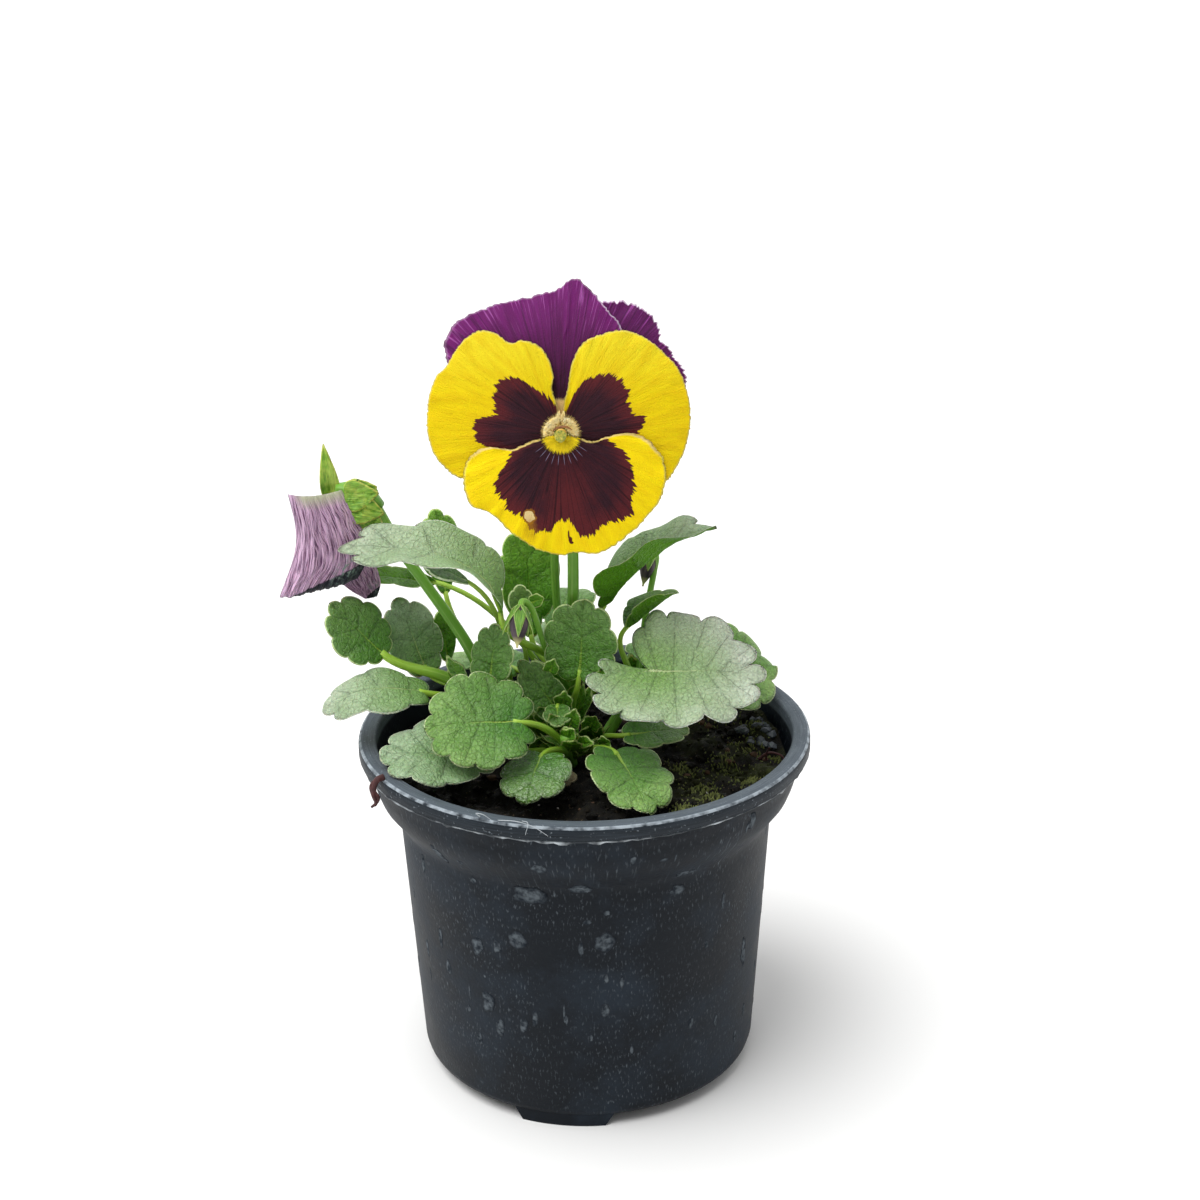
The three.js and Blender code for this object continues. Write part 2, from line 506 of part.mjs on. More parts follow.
// A sepal is a lance-shaped blade. heading is where it points, and up is the way that its face looks.
function sepalSolid(base, heading, up, length, width, curl = 0, count = 8) {
  const along = heading.clone().normalize();
  const across = new THREE.Vector3().crossVectors(up, along).normalize();
  const face = new THREE.Vector3().crossVectors(along, across);
  const place = (share, i) => {
    const turn = (2 * Math.PI * i) / count;
    const x = 0.5 * length * (1 + Math.cos(turn)) * share + 0.25 * length * (1 - share);
    const taper = 0.5 - 0.32 * Math.cos(turn);
    const y = width * taper * Math.sin(turn) * share;
    const lift = curl * (x / length) ** 2 + 0.12 * Math.abs(y);
    return base.clone().addScaledVector(along, x).addScaledVector(across, y).addScaledVector(face, lift);
  };
  return bladeSolid(place, count, [1], PETAL_THICK);
}

function calyxSolid() {
  const cup = new THREE.CatmullRomCurve3([
    facePoint(0, -0.4, -4.9), facePoint(0, -0.2, -7), facePoint(0, 0.6, -9.4),
  ]);
  const receptacle = stemSolid(cup, (t) => 3 - 0.2 * t - 1.1 * t * t, { sides: 10, steps: 4 });
  const turns = [90, 22, 158, -50, -130];
  const sepals = turns.map((degrees) => {
    const turn = THREE.MathUtils.degToRad(degrees);
    const ray = FACE_FRAME.right.clone().multiplyScalar(Math.cos(turn))
      .addScaledVector(FACE_FRAME.up, Math.sin(turn));
    const heading = ray.clone().addScaledVector(FACE_FRAME.out, -0.3);
    return sepalSolid(facePoint(0, 0, -7).addScaledVector(ray, 1.6), heading, FACE_FRAME.out, 14, 4.4, -2);
  });
  return joined([receptacle, ...sepals, spurSolid()]);
}

// Flower stalks: each rises from a shoot and hooks over at its top.
const STALKS = [
  { name: "flower_stalk_and_calyx", from: 1.7, to: 1.25, steps: 12,
    path: [[-5, 6, 111], [-3, 1.5, 122], [-2.3, 0, 143], [-2.8, 2, 164], [-4, 4.4, 175],
      [-4.6, 3.4, 179.5], [-4.7, 0.2, 179.4], [-4.7, -3.6, 176.8]] },
  { name: "faded_stalk_and_calyx", from: 1.7, to: 1.3, steps: 12,
    path: [[-24, 0.8, 101], [-30.5, 5, 115.5], [-42, 10.5, 132], [-48.5, 11, 142], [-51.6, 11, 149],
      [-54, 10.8, 153.5], [-57, 10.5, 155.8]] },
];

function stalkSolid({ path, from, to, steps }) {
  const curve = new THREE.CatmullRomCurve3(path.map(vec));
  return stemSolid(curve, (t) => from + (to - from) * t, { sides: 6, steps });
}

// The faded flower: its petals hang limp from the calyx, folded on each other like a closed skirt.
// Each is a patch between a left and a right edge line, swelling out towards the viewer.
const FADED = [
  { name: "faded_petal_front",
    left: [[-76, 8, 156.5], [-74.5, 7, 149], [-75, 7, 142.5], [-80, 6, 129.5]],
    right: [[-62, 8, 158], [-58, 7, 150.5], [-55, 7, 143], [-60.5, 6, 135.5]], swell: 5.5 },
  { name: "faded_petal_back",
    left: [[-74.5, 10.4, 154.5], [-73, 10.6, 147.5], [-74, 11, 140.5], [-76.5, 11, 131.5]],
    right: [[-61.5, 10.4, 156.5], [-58.5, 11, 149.5], [-55.5, 11, 143], [-58, 11, 137]], swell: -5 },
  { name: "faded_petal_lower",
    left: [[-66.5, 8.2, 141.5], [-66.5, 8.2, 138.5], [-64, 8, 133], [-60.5, 7.8, 129.5]],
    right: [[-56.5, 8.2, 142.5], [-55, 8.2, 138.5], [-54, 8, 134], [-56, 7.8, 130.3]], swell: 1 },
];

function fadedSolid({ left, right, swell }) {
  const edges = [left, right].map((points) => new THREE.CatmullRomCurve3(points.map(vec)));
  const across = 4;
  const down = 5;
  const rim = [];
  for (let i = 0; i < across; i += 1) rim.push([i / across, 0]);
  for (let i = 0; i < down; i += 1) rim.push([1, i / down]);
  for (let i = across; i > 0; i -= 1) rim.push([i / across, 1]);
  for (let i = down; i > 0; i -= 1) rim.push([0, i / down]);
  const place = (share, i) => {
    const u = 0.5 + (rim[i][0] - 0.5) * share;
    const v = 0.5 + (rim[i][1] - 0.5) * share;
    const point = edges[0].getPoint(v).lerp(edges[1].getPoint(v), u);
    const crease = 0.12 * swell * Math.sin(9.5 * u) * v;
    point.y -= swell * 4 * u * (1 - u) * (0.35 + 0.65 * Math.sin(Math.PI * (0.15 + 0.75 * v))) + crease;
    return point;
  };
  return bladeSolid(place, rim.length, [0.5, 1], PETAL_THICK);
}

function fadedReceptacle(grown = 0) {
  const line = [[-52.5, 10.8, 152.5], [-57.5, 10.5, 156.2], [-64, 10.4, 157.8]];
  const cup = new THREE.CatmullRomCurve3(line.map(vec));
  return stemSolid(cup, (t) => 1.8 + 1.5 * Math.sin(Math.PI * t) + grown, { sides: 8, steps: 4 });
}

function fadedCalyxSolid() {
  const up = new THREE.Vector3(0, -1, 0);
  const blades = [
    [[-64.4, 10.4, 157.2], [-0.12, 0, 1], 13, 3],
    [[-57.5, 9.6, 155.7], [0.7, -0.4, 0.4], 7, 6.5],
    [[-56, 9.2, 155], [0.85, -0.45, -0.35], 8.5, 6.5],
    [[-56.5, 9.2, 154.5], [0.5, -0.5, -0.9], 6.5, 5.5],
    [[-57, 12, 155.3], [0.6, 0.8, 0.15], 7, 6],
  ];
  const sepals = blades.map(([base, heading, length, width]) =>
    sepalSolid(vec(base), vec(heading), up, length, width, 1));
  return joined([fadedReceptacle(), ...sepals]);
}

// Buds: a plump pointed body in its sepals on a thin stalk that nods at its top.
const BUDS = [
  { name: "bud_front", tip: [-17, -11.5, 121.5], fat: 2.6, stem: 0.8, sepal: 9,
    stalk: [[-4.2, 4.8, 103], [-9.5, -1, 116], [-13.5, -4, 130], [-15.5, -6.5, 132.4], [-16, -8.4, 131]] },
  { name: "bud_right", tip: [16.4, 20, 126.5], fat: 2.2, stem: 0.9, sepal: 6.5,
    stalk: [[14.7, 7.3, 106], [17, 15, 120], [19.5, 20, 131], [20, 20.5, 135], [18.6, 20.5, 136.6]] },
  { name: "bud_rear", tip: [-7, 21, 156], fat: 3, stem: 1.2, sepal: 10,
    stalk: [[-3.9, 4.8, 97], [-4, 11, 107], [-6.4, 12.5, 120], [-7.2, 12, 132], [-7, 11, 150],
      [-7, 12, 162], [-7, 14.5, 164]] },
];

function budSolid({ stalk, tip, fat, stem, sepal }) {
  const stalkLine = new THREE.CatmullRomCurve3(stalk.map(vec));
  const top = vec(stalk.at(-1));
  const point = vec(tip);
  const droop = point.clone().sub(top).normalize();
  const body = new THREE.LineCurve3(top.clone().addScaledVector(droop, -0.8), point);
  const fatAt = (t) => Math.max(0.3, fat * Math.sin(Math.PI * Math.min(0.96, 0.12 + 0.9 * t)));
  const bodySolid = stemSolid(body, fatAt, { sides: 6, steps: 5 });
  const side = new THREE.Vector3().crossVectors(droop, new THREE.Vector3(0.3, 1, 0.1)).normalize();
  const sepals = Array.from({ length: 5 }, (_, i) => {
    const ray = side.clone().applyAxisAngle(droop, (2 * Math.PI * i) / 5);
    const heading = droop.clone().addScaledVector(ray, 0.9);
    const base = top.clone().addScaledVector(droop, -1.2);
    return sepalSolid(base, heading, ray, sepal, 2.8, -2.2, 6);
  });
  const stalkBody = stemSolid(stalkLine, () => stem, { sides: 5, steps: 8 });
  return joined([stalkBody, bodySolid, ...sepals]);
}

// Assembly
const plant = new THREE.Group();
plant.name = "potted_pansy";

function addPiece(name, solid, colour, roughness = 0.7) {
  const material = new THREE.MeshStandardMaterial({ color: COLOURS[colour], roughness, metalness: 0 });
  const mesh = new THREE.Mesh(geometryOf(solid), material);
  mesh.name = name;
  plant.add(mesh);
}

const shoots = shootSolid();
const shootClearance = shootSolid(GAP);
addPiece("pot", potSolid(), "pot", 0.55);
addPiece("compost", soilSolid().subtract(shootClearance), "soil", 0.95);
addPiece("crown_and_shoots", shoots, "shoot");
for (const leaf of LEAVES) {
  const colour = leaf.name === "leaf_withered" ? "withered" : "leaf";
  addPiece(leaf.name, largestBody(leafSolid(leaf).subtract(shootClearance)), colour);
}

const throatClearance = throatSolid(GAP);
for (const petal of PETALS)
  addPiece(petal.name, largestBody(petalSolid(petal).subtract(throatClearance)), petal.colour);
addPiece("throat", throatSolid(), "throat");

const fadedClearance = fadedReceptacle(GAP);
for (const petal of FADED)
  addPiece(petal.name, largestBody(fadedSolid(petal).subtract(fadedClearance)), "petalFaded");

const heads = [calyxSolid(), fadedCalyxSolid()];
STALKS.forEach((stalk, i) =>
  addPiece(stalk.name, largestBody(stalkSolid(stalk).add(heads[i]).subtract(shootClearance)), "sepal"));
for (const bud of BUDS)
  addPiece(bud.name, largestBody(budSolid(bud).subtract(shootClearance)), "sepal");

export default plant;
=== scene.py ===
# %% [markdown]
# # A pansy in its nursery pot
# This notebook dresses a garden pansy in bloom. The construction model already gives each piece its place
# and its rough form, as faceted solids. Here each of them is swapped for a finer piece of the same form:
# leaves get veins and pale margins, petals get their velvet and dark blotches, and the compost gets crumbs
# and moss.
# All sizes are written in millimetres, and turned to metres when a point is set.

# %% Load the frame
import math
import random

import bmesh
import bpy
from mathutils import Matrix, Vector, noise


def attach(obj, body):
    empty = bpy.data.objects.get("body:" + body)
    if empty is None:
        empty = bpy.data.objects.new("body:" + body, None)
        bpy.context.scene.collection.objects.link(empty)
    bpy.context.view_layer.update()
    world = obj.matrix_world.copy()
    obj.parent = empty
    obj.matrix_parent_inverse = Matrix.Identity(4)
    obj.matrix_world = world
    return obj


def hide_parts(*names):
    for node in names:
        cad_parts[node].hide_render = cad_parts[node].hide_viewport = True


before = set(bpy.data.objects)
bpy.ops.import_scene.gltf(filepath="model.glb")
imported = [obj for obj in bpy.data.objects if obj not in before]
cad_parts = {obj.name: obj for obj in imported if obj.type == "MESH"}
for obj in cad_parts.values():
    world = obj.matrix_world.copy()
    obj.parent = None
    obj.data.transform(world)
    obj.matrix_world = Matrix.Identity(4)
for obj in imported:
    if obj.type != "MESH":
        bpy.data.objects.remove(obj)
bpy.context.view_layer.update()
MM = 0.001

# %% [markdown]
# ## The camera
# The camera stands where the photographer stood: a little under half a metre in front of the pot and 30 cm
# above the ground, looking down by 20 degrees. A lens of 55 mm gives the pot the same taper as in the photo.

# %% Camera
CAMERA_PLACE = Vector((0, -449.3, 294.6)) * MM
CAMERA_YAW = 0.0101
CAMERA_PITCH = 0.3511
CAMERA_ROLL = -0.0115
CAMERA_LENS = 55.07


def set_camera():
    level_share = math.cos(CAMERA_PITCH)
    ahead = Vector((math.sin(CAMERA_YAW) * level_share, math.cos(CAMERA_YAW) * level_share,
                    -math.sin(CAMERA_PITCH)))
    level = ahead.cross(Vector((0, 0, 1))).normalized()
    upright = level.cross(ahead)
    right = level * math.cos(CAMERA_ROLL) + upright * math.sin(CAMERA_ROLL)
    up = upright * math.cos(CAMERA_ROLL) - level * math.sin(CAMERA_ROLL)
    data = bpy.data.cameras.new("camera")
    data.lens = CAMERA_LENS
    data.sensor_width = 36
    data.clip_start = 0.01
    camera = bpy.data.objects.new("camera", data)
    camera.matrix_world = Matrix.Translation(CAMERA_PLACE) @ Matrix((right, up, -ahead)).transposed().to_4x4()
    bpy.context.scene.collection.objects.link(camera)
    bpy.context.scene.camera = camera
    print("camera", tuple(round(v, 3) for v in camera.location))


set_camera()

# %% [markdown]
# ## Colours and node trees
# Colours are written as the sRGB hex values that a colour picker shows. Blender's shaders work in linear
# light, so one function turns them. A second function adds a node, sets it and links it, sends each colour
# through the first, and hands back the output that the next node needs. With these two a material reads from
# top to bottom like a recipe.

# %% Helpers for materials
# Noise scales count per metre: PER_MM / 0.7 draws spots of 0.7 mm.
PER_MM = 1000


def linear(hexed):
    channels = [int(hexed[i:i + 2], 16) / 255 for i in (1, 3, 5)]
    turned = [c / 12.92 if c <= 0.04045 else ((c + 0.055) / 1.055) ** 2.4 for c in channels]
    return (*turned, 1)


def add(tree, kind, sockets=None, out=0, **settings):
    """Adds a shader node, sets or links its inputs, and returns one of its outputs, or the node itself."""
    node = tree.nodes.new("ShaderNode" + kind)
    for key, value in settings.items():
        setattr(node, key, value)
    for key, value in (sockets or {}).items():
        if isinstance(value, bpy.types.NodeSocket):
            tree.links.new(value, node.inputs[key])
        else:
            node.inputs[key].default_value = linear(value) if isinstance(value, str) else value
    return node if out is None else node.outputs[out]


def new_skin(name, **constants):
    """A material of that name, with plain numbers set on the shader's own sockets."""
    skin = bpy.data.materials.new(name)
    skin.use_nodes = True
    shader = skin.node_tree.nodes["Principled BSDF"]
    for key, value in constants.items():
        shader.inputs[key.replace("_", " ")].default_value = value
    return skin, skin.node_tree, shader


def plug(tree, shader, **links):
    for key, socket in links.items():
        tree.links.new(socket, shader.inputs[key.replace("_", " ")])


def spots(tree, where, scale, low, high, most=1, detail=2, rough=0.5):
    """A mask of soft spots: noise, spread so that low becomes 0 and high becomes most."""
    grain = add(tree, "TexNoise", {"Vector": where, "Scale": scale, "Detail": detail, "Roughness": rough})
    return add(tree, "MapRange", {0: grain, 1: low, 2: high, 4: most})


# %% [markdown]
# ## Soft studio light
# Leaves show their quilted skin only under a broad soft light from above. A sun as wide as a large softbox
# stands at the upper left. The room is white, and brightest behind the plant, like a paper sweep: seen at a
# flat angle, the waxy leaves mirror it as a pale veil. The floor is plain and pale.

# %% Light and floor
SUN_HEADING = (0.4, 0.22, -1)


def set_light():
    data = bpy.data.lights.new("soft_sun", "SUN")
    data.angle = math.radians(50)
    data.energy = 2.6
    sun = bpy.data.objects.new("soft_sun", data)
    sun.matrix_world = Vector(SUN_HEADING).to_track_quat("-Z", "Y").to_matrix().to_4x4()
    bpy.context.scene.collection.objects.link(sun)
    world = bpy.data.worlds.new("white_room")
    world.use_nodes = True
    room = world.node_tree
    heading = add(room, "SeparateXYZ", {0: add(room, "TexCoord", out=0)}, out=1)
    strength = add(room, "MapRange", {0: heading, 1: -1, 2: 1, 3: 0.3, 4: 1.05})
    backdrop = room.nodes["Background"]
    backdrop.inputs["Color"].default_value = (1, 1, 1, 1)
    room.links.new(strength, backdrop.inputs["Strength"])
    bpy.context.scene.world = world
    bpy.context.scene.view_settings.view_transform = "Standard"
    print("sun", round(data.energy, 2), "and a white room")


set_light()


def floor_skin():
    skin, tree, shader = new_skin("painted_board", Roughness=0.9)
    spots = add(tree, "TexNoise", {"Scale": 6}, out=0)
    tone = add(tree, "Mix", {0: spots, 6: "#F2F2F1", 7: "#F7F7F6"}, out=2, data_type="RGBA")
    plug(tree, shader, Base_Color=tone)
    return skin


def lay_floor():
    bm = bmesh.new()
    bmesh.ops.create_grid(bm, x_segments=2, y_segments=2, size=12)
    mesh = bpy.data.meshes.new("floor")
    bm.to_mesh(mesh)
    bm.free()
    mesh.materials.append(floor_skin())
    floor = bpy.data.objects.new("floor", mesh)
    bpy.context.scene.collection.objects.link(floor)


lay_floor()

# %% [markdown]
# ## Bending a grid
# A leaf, a petal and a stem are all one sheet, bent. So one helper serves them all: it lets Blender lay a
# flat grid, and moves each of its points to where a small function says. The function also gives two flat
# places for the patterns: skin is where the point lies in the piece's own pattern, and edge says how far
# round the piece and how far out from its middle it lies. A grid whose first and last columns meet is sewn
# when the piece is finished, which also closes the poles.

# %% Helpers for shapes
def clamp(value, low=0, high=1):
    return max(low, min(high, value))


def mix(first, second, share):
    return first + (second - first) * share


def new_shape():
    bm = bmesh.new()
    bm.loops.layers.uv.new("skin")
    bm.loops.layers.uv.new("edge")
    return bm


def bend_grid(bm, columns, rows, place, slot_at=None):
    """Adds a grid. place(u, v), with u and v from 0 to 1, gives a point in mm and its two pattern places."""
    made = bmesh.ops.create_grid(bm, x_segments=columns, y_segments=rows, size=0.5)["verts"]
    skin = bm.loops.layers.uv["skin"]
    edge = bm.loops.layers.uv["edge"]
    for face in {face for vert in made for face in vert.link_faces}:
        face.smooth = True
        if slot_at:
            middle = face.calc_center_median()
            face.material_index = slot_at(middle.x + 0.5, middle.y + 0.5)
    for vert in made:
        point, skin_place, edge_place = place(vert.co.x + 0.5, vert.co.y + 0.5)
        for loop in vert.link_loops:
            loop[skin].uv = skin_place
            loop[edge].uv = edge_place
        vert.co = point * MM


def finish_piece(bm, name, slot, skins, nodes=()):
    """Sews the seams, turns the faces outwards and makes the object, which rides on the part's one body."""
    bmesh.ops.remove_doubles(bm, verts=bm.verts, dist=1e-7)
    bmesh.ops.recalc_face_normals(bm, faces=bm.faces)
    mesh = bpy.data.meshes.new(name)
    bm.to_mesh(mesh)
    bm.free()
    for skin in skins:
        mesh.materials.append(skin)
    piece = bpy.data.objects.new(name, mesh)
    bpy.context.scene.collection.objects.link(piece)
    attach(piece, "root")
    if nodes:
        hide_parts(*nodes)
    print(name, len(mesh.polygons), "faces")
    return piece


# %% [markdown]
# ## Lines and stems
# A stem follows a smooth curve through a few points, and is as thick as a formula says at each of them. The
# curve is the centripetal kind, which never overshoots between two close points. The round of points is
# carried along the curve without twist, so that ribs on a stem run straight.

# %% Helpers for stems
def spline_point(points, share, closed=False):
    """A point of the centripetal Catmull-Rom curve through the points."""
    total = len(points)
    place = (total if closed else total - 1) * share
    start = min(int(place), total - 1 if closed else total - 2)
    weight = place - start

    def at(i):
        if closed:
            return points[i % total]
        if i < 0:
            return points[0] * 2 - points[1]
        return points[-1] * 2 - points[-2] if i >= total else points[i]

    p0, p1, p2, p3 = [at(start + k) for k in (-1, 0, 1, 2)]
    a, b, c = [max((q - p).length, 1e-4) ** 0.5 for p, q in ((p0, p1), (p1, p2), (p2, p3))]
    leave = ((p1 - p0) / a - (p2 - p0) / (a + b) + (p2 - p1) / b) * b
    arrive = ((p2 - p1) / b - (p3 - p1) / (b + c) + (p3 - p2) / c) * b
    square = weight * weight
    cube = square * weight
    near = p1 * (2 * cube - 3 * square + 1) + leave * (cube - 2 * square + weight)
    return near + p2 * (3 * square - 2 * cube) + arrive * (cube - square)


def even_points(curve, count, samples=240):
    """count + 1 points, evenly spaced by length, of the curve that the function gives."""
    raw = [curve(i / samples) for i in range(samples + 1)]
    lengths = [0]
    for before, after in zip(raw, raw[1:]):
        lengths.append(lengths[-1] + (after - before).length)
    points = []
    k = 0
    for i in range(count + 1):
        goal = lengths[-1] * i / count
        while k < samples - 1 and lengths[k + 1] < goal:
            k += 1
        span = max(lengths[k + 1] - lengths[k], 1e-9)
        points.append(raw[k].lerp(raw[k + 1], (goal - lengths[k]) / span))
    return points


def line_through(points, count, closed=False):
    anchors = [Vector(p) for p in points]
    return even_points(lambda share: spline_point(anchors, share, closed), count)


def carried_frames(points):
    """For each point of a line the two directions across it, carried along without twist."""
    last = len(points) - 1
    headings = [(points[min(i + 1, last)] - points[max(i - 1, 0)]).normalized() for i in range(last + 1)]
    side = headings[0].orthogonal().normalized()
    frames = []
    for heading in headings:
        side = (side - heading * side.dot(heading)).normalized()
        frames.append((side, heading.cross(side)))
    return frames


def add_stem(bm, points, radius_at, sides=14, slot=0, ribs=0.05):
    """A closed stem along the points: radius_at(share) gives its radius in mm, ribs how far it is fluted."""
    frames = carried_frames(points)
    last = len(points) - 1
    rows = last + 2

    def place(u, v):
        row = round(v * rows)
        at = clamp(row - 1, 0, last)
        side, over = frames[at]
        turn = 2 * math.pi * u
        capped = row in (0, rows)
        radius = 0 if capped else radius_at(at / last) * (1 + ribs * math.cos(4 * turn))
        point = points[at] + side * (radius * math.cos(turn)) + over * (radius * math.sin(turn))
        return point, (u, at / last), (u, at / last)

    bend_grid(bm, sides, rows, place, lambda u, v: slot)


# %% [markdown]
# ## The pot
# Nursery pots are drawn from a thin sheet of black polypropylene: a rolled lip for the hands, a shoulder that
# lets pots stack, a wall that narrows to the foot, and a floor with drain holes on short feet. A thin profile
# spun round the axis gives the shell. The feet are bent blocks under the floor's edge, and the holes are cut.

# %% Pot
RIM_RADIUS = 60
POT_HEIGHT = 94.5
LIP_WIDTH = 4.4
LIP_DROP = 3.7
WALL = 1.5
SHOULDER_RADIUS = 57
NECK_RADIUS = 50.2
NECK_HEIGHT = 73
BASE_RADIUS = 46
FOOT_DROP = 3.2
FLOOR_THICK = 1.8
FOOT_COUNT = 3
FOOT_SPAN = math.radians(28)
FRONT_FOOT_TURN = math.radians(-99)
DRAIN_COUNT = 8
DRAIN_RADIUS = 3.5
POT_COLUMNS = 160
FLASH_COLUMNS = 240


def pot_plastic():
    """Black polypropylene sheet, drawn hot over a mould: satin, with scuffs, dust and dried drops."""
    skin, tree, shader = new_skin("drawn_polypropylene", IOR=1.49, Specular_IOR_Level=0.14)
    wall = add(tree, "UVMap", uv_map="skin")
    here = add(tree, "TexCoord", out=3)
    height = add(tree, "SeparateXYZ", {0: here}, out=2)
    clouds = add(tree, "TexNoise", {"Vector": here, "Scale": PER_MM / 26, "Detail": 5, "Roughness": 0.65})
    dust = add(tree, "MapRange", {0: clouds, 1: 0.45, 2: 0.8})
    # The wall's pattern is in decimetres: upright specks, 190 to one across and 55 down.
    speck_space = add(tree, "Mapping", {0: wall, "Scale": (190, 55, 1)})
    specks = spots(tree, speck_space, 1, 0.58, 0.76, 0.8)
    crowd = spots(tree, here, PER_MM / 17, 0.3, 0.66)
    specks = add(tree, "Math", {0: specks, 1: crowd}, operation="MULTIPLY")
    # Scrapes run round the lip. Its flat top is painted lighter, painted light where it faces the bright
    # room, and a thin line along its outer corner is a painted highlight, broken up by noise.
    scrape_space = add(tree, "Mapping", {0: wall, "Scale": (9, 260, 1)})
    scrapes = spots(tree, scrape_space, 1, 0.35, 0.75, detail=6, rough=0.7)
    worn_and_lit_lip = add(tree, "Mix", {0: scrapes, 6: "#161B20", 7: "#343C44"}, out=2, data_type="RGBA")
    top = add(tree, "Mix", {0: scrapes, 6: "#434B53", 7: "#67717A"}, out=2, data_type="RGBA")
    flat = add(tree, "VectorMath", {0: here, 1: (1, 1, 0)}, operation="MULTIPLY")
    flat = add(tree, "VectorMath", {0: flat}, out=1, operation="LENGTH")
    painted_lit_top = add(tree, "MapRange", {0: flat, 1: 0.0598, 2: 0.0592})
    dots = spots(tree, here, PER_MM / 0.8, 0.64, 0.74, 0.6)
    painted_edge_highlight = add(tree, "Math", {0: flat, 1: 0.0596, 2: 0.0003}, operation="COMPARE")
    highlight_breaks = spots(tree, here, PER_MM / 2.4, 0.3, 0.62, detail=3)
    painted_edge_highlight = add(tree, "Math", {0: painted_edge_highlight, 1: highlight_breaks}, operation="MULTIPLY")
    for mask, colour in ((painted_lit_top, top), (dots, "#8C969E"), (painted_edge_highlight, "#A0AAB2")):
        worn_and_lit_lip = add(tree, "Mix", {0: mask, 6: worn_and_lit_lip, 7: colour}, out=2, data_type="RGBA")
    # The lip takes that scraped tone together with its painted light.
    lip = add(tree, "MapRange", {0: height, 1: 0.0903, 2: 0.0912})
    tone = "#0E141B"
    for mask, colour in ((dust, "#28323D"), (specks, "#5E676E"), (lip, worn_and_lit_lip)):
        tone = add(tree, "Mix", {0: mask, 6: tone, 7: colour}, out=2, data_type="RGBA")
    rough = add(tree, "MapRange", {0: clouds, 1: 0.3, 2: 0.7, 3: 0.42, 4: 0.62})
    grain = add(tree, "TexNoise", {"Vector": here, "Scale": PER_MM / 1.1, "Detail": 3})
    relief = add(tree, "Math", {0: grain, 1: specks}, operation="ADD")
    bump = add(tree, "Bump", {"Height": relief, "Strength": 0.35, "Distance": 0.0002})
    plug(tree, shader, Base_Color=tone, Roughness=rough, Normal=bump)
    return skin


def pot_profile():
    """The shell's outline as (radius, height), from the floor's underside round the lip and down inside."""
    floor_top = FOOT_DROP + FLOOR_THICK
    outside = [
        (0, FOOT_DROP), (BASE_RADIUS - 1.6, FOOT_DROP), (BASE_RADIUS - 0.4, FOOT_DROP + 0.5),
        (BASE_RADIUS, FOOT_DROP + 1.8), (NECK_RADIUS - 0.3, NECK_HEIGHT - 3),
        (NECK_RADIUS - 0.1, NECK_HEIGHT - 1.2), (NECK_RADIUS + 0.3, NECK_HEIGHT),
        (NECK_RADIUS + 0.9, NECK_HEIGHT + 0.9), (NECK_RADIUS + 2.4, NECK_HEIGHT + 3),
        (SHOULDER_RADIUS - 1.9, NECK_HEIGHT + 6.4),
        (SHOULDER_RADIUS - 0.9, NECK_HEIGHT + 9), (SHOULDER_RADIUS, NECK_HEIGHT + 12.2),
        (SHOULDER_RADIUS + 0.2, POT_HEIGHT - LIP_DROP), (RIM_RADIUS - 0.2, POT_HEIGHT - LIP_DROP),
        (RIM_RADIUS + 0.1, POT_HEIGHT - LIP_DROP + 0.25), (RIM_RADIUS + 0.05, POT_HEIGHT - 1.1),
        (RIM_RADIUS - 0.15, POT_HEIGHT - 0.4), (RIM_RADIUS - 0.7, POT_HEIGHT - 0.03),
    ]
    inside = [
        (RIM_RADIUS - 1.4, POT_HEIGHT), (RIM_RADIUS - LIP_WIDTH + 0.4, POT_HEIGHT - 0.1),
        (RIM_RADIUS - LIP_WIDTH, POT_HEIGHT - 0.4), (RIM_RADIUS - LIP_WIDTH - 0.3, POT_HEIGHT - 1.2),
        (SHOULDER_RADIUS - WALL, NECK_HEIGHT + 12.2), (SHOULDER_RADIUS - 1.9 - WALL, NECK_HEIGHT + 7.6),
        (NECK_RADIUS + 0.5 - WALL, NECK_HEIGHT + 1.2), (NECK_RADIUS - 0.3 - WALL, NECK_HEIGHT - 1.6),
        (BASE_RADIUS - WALL, floor_top), (0, floor_top),
    ]
    return outside + inside


def spin_pot(bm):
    """Spins the outline into the shell. The pattern's place runs round the wall and up it, in decimetres."""
    outline = pot_profile()
    corners = [bm.verts.new(Vector((radius, 0, height)) * MM) for radius, height in outline]
    chain = [bm.edges.new(pair) for pair in zip(corners, corners[1:])]
    bmesh.ops.spin(bm, geom=corners + chain, cent=(0, 0, 0), axis=(0, 0, 1), angle=2 * math.pi,
                   steps=POT_COLUMNS, use_merge=True)
    bmesh.ops.remove_doubles(bm, verts=bm.verts, dist=1e-6)
    skin = bm.loops.layers.uv["skin"]
    for face in bm.faces:
        face.smooth = True
        middle = face.calc_center_median()
        middle_turn = math.atan2(middle.y, middle.x)
        for loop in face.loops:
            place = loop.vert.co / MM
            turn = math.atan2(place.y, place.x) if Vector(place.xy).length > 1 else middle_turn
            if turn - middle_turn > math.pi:
                turn -= 2 * math.pi
            if middle_turn - turn > math.pi:
                turn += 2 * math.pi
            flat = Vector(place.xy).length
            over_lip = RIM_RADIUS - flat if place.z > 60 else 0
            loop[skin].uv = (turn * 0.5 + 2, (place.z + over_lip) / 100)


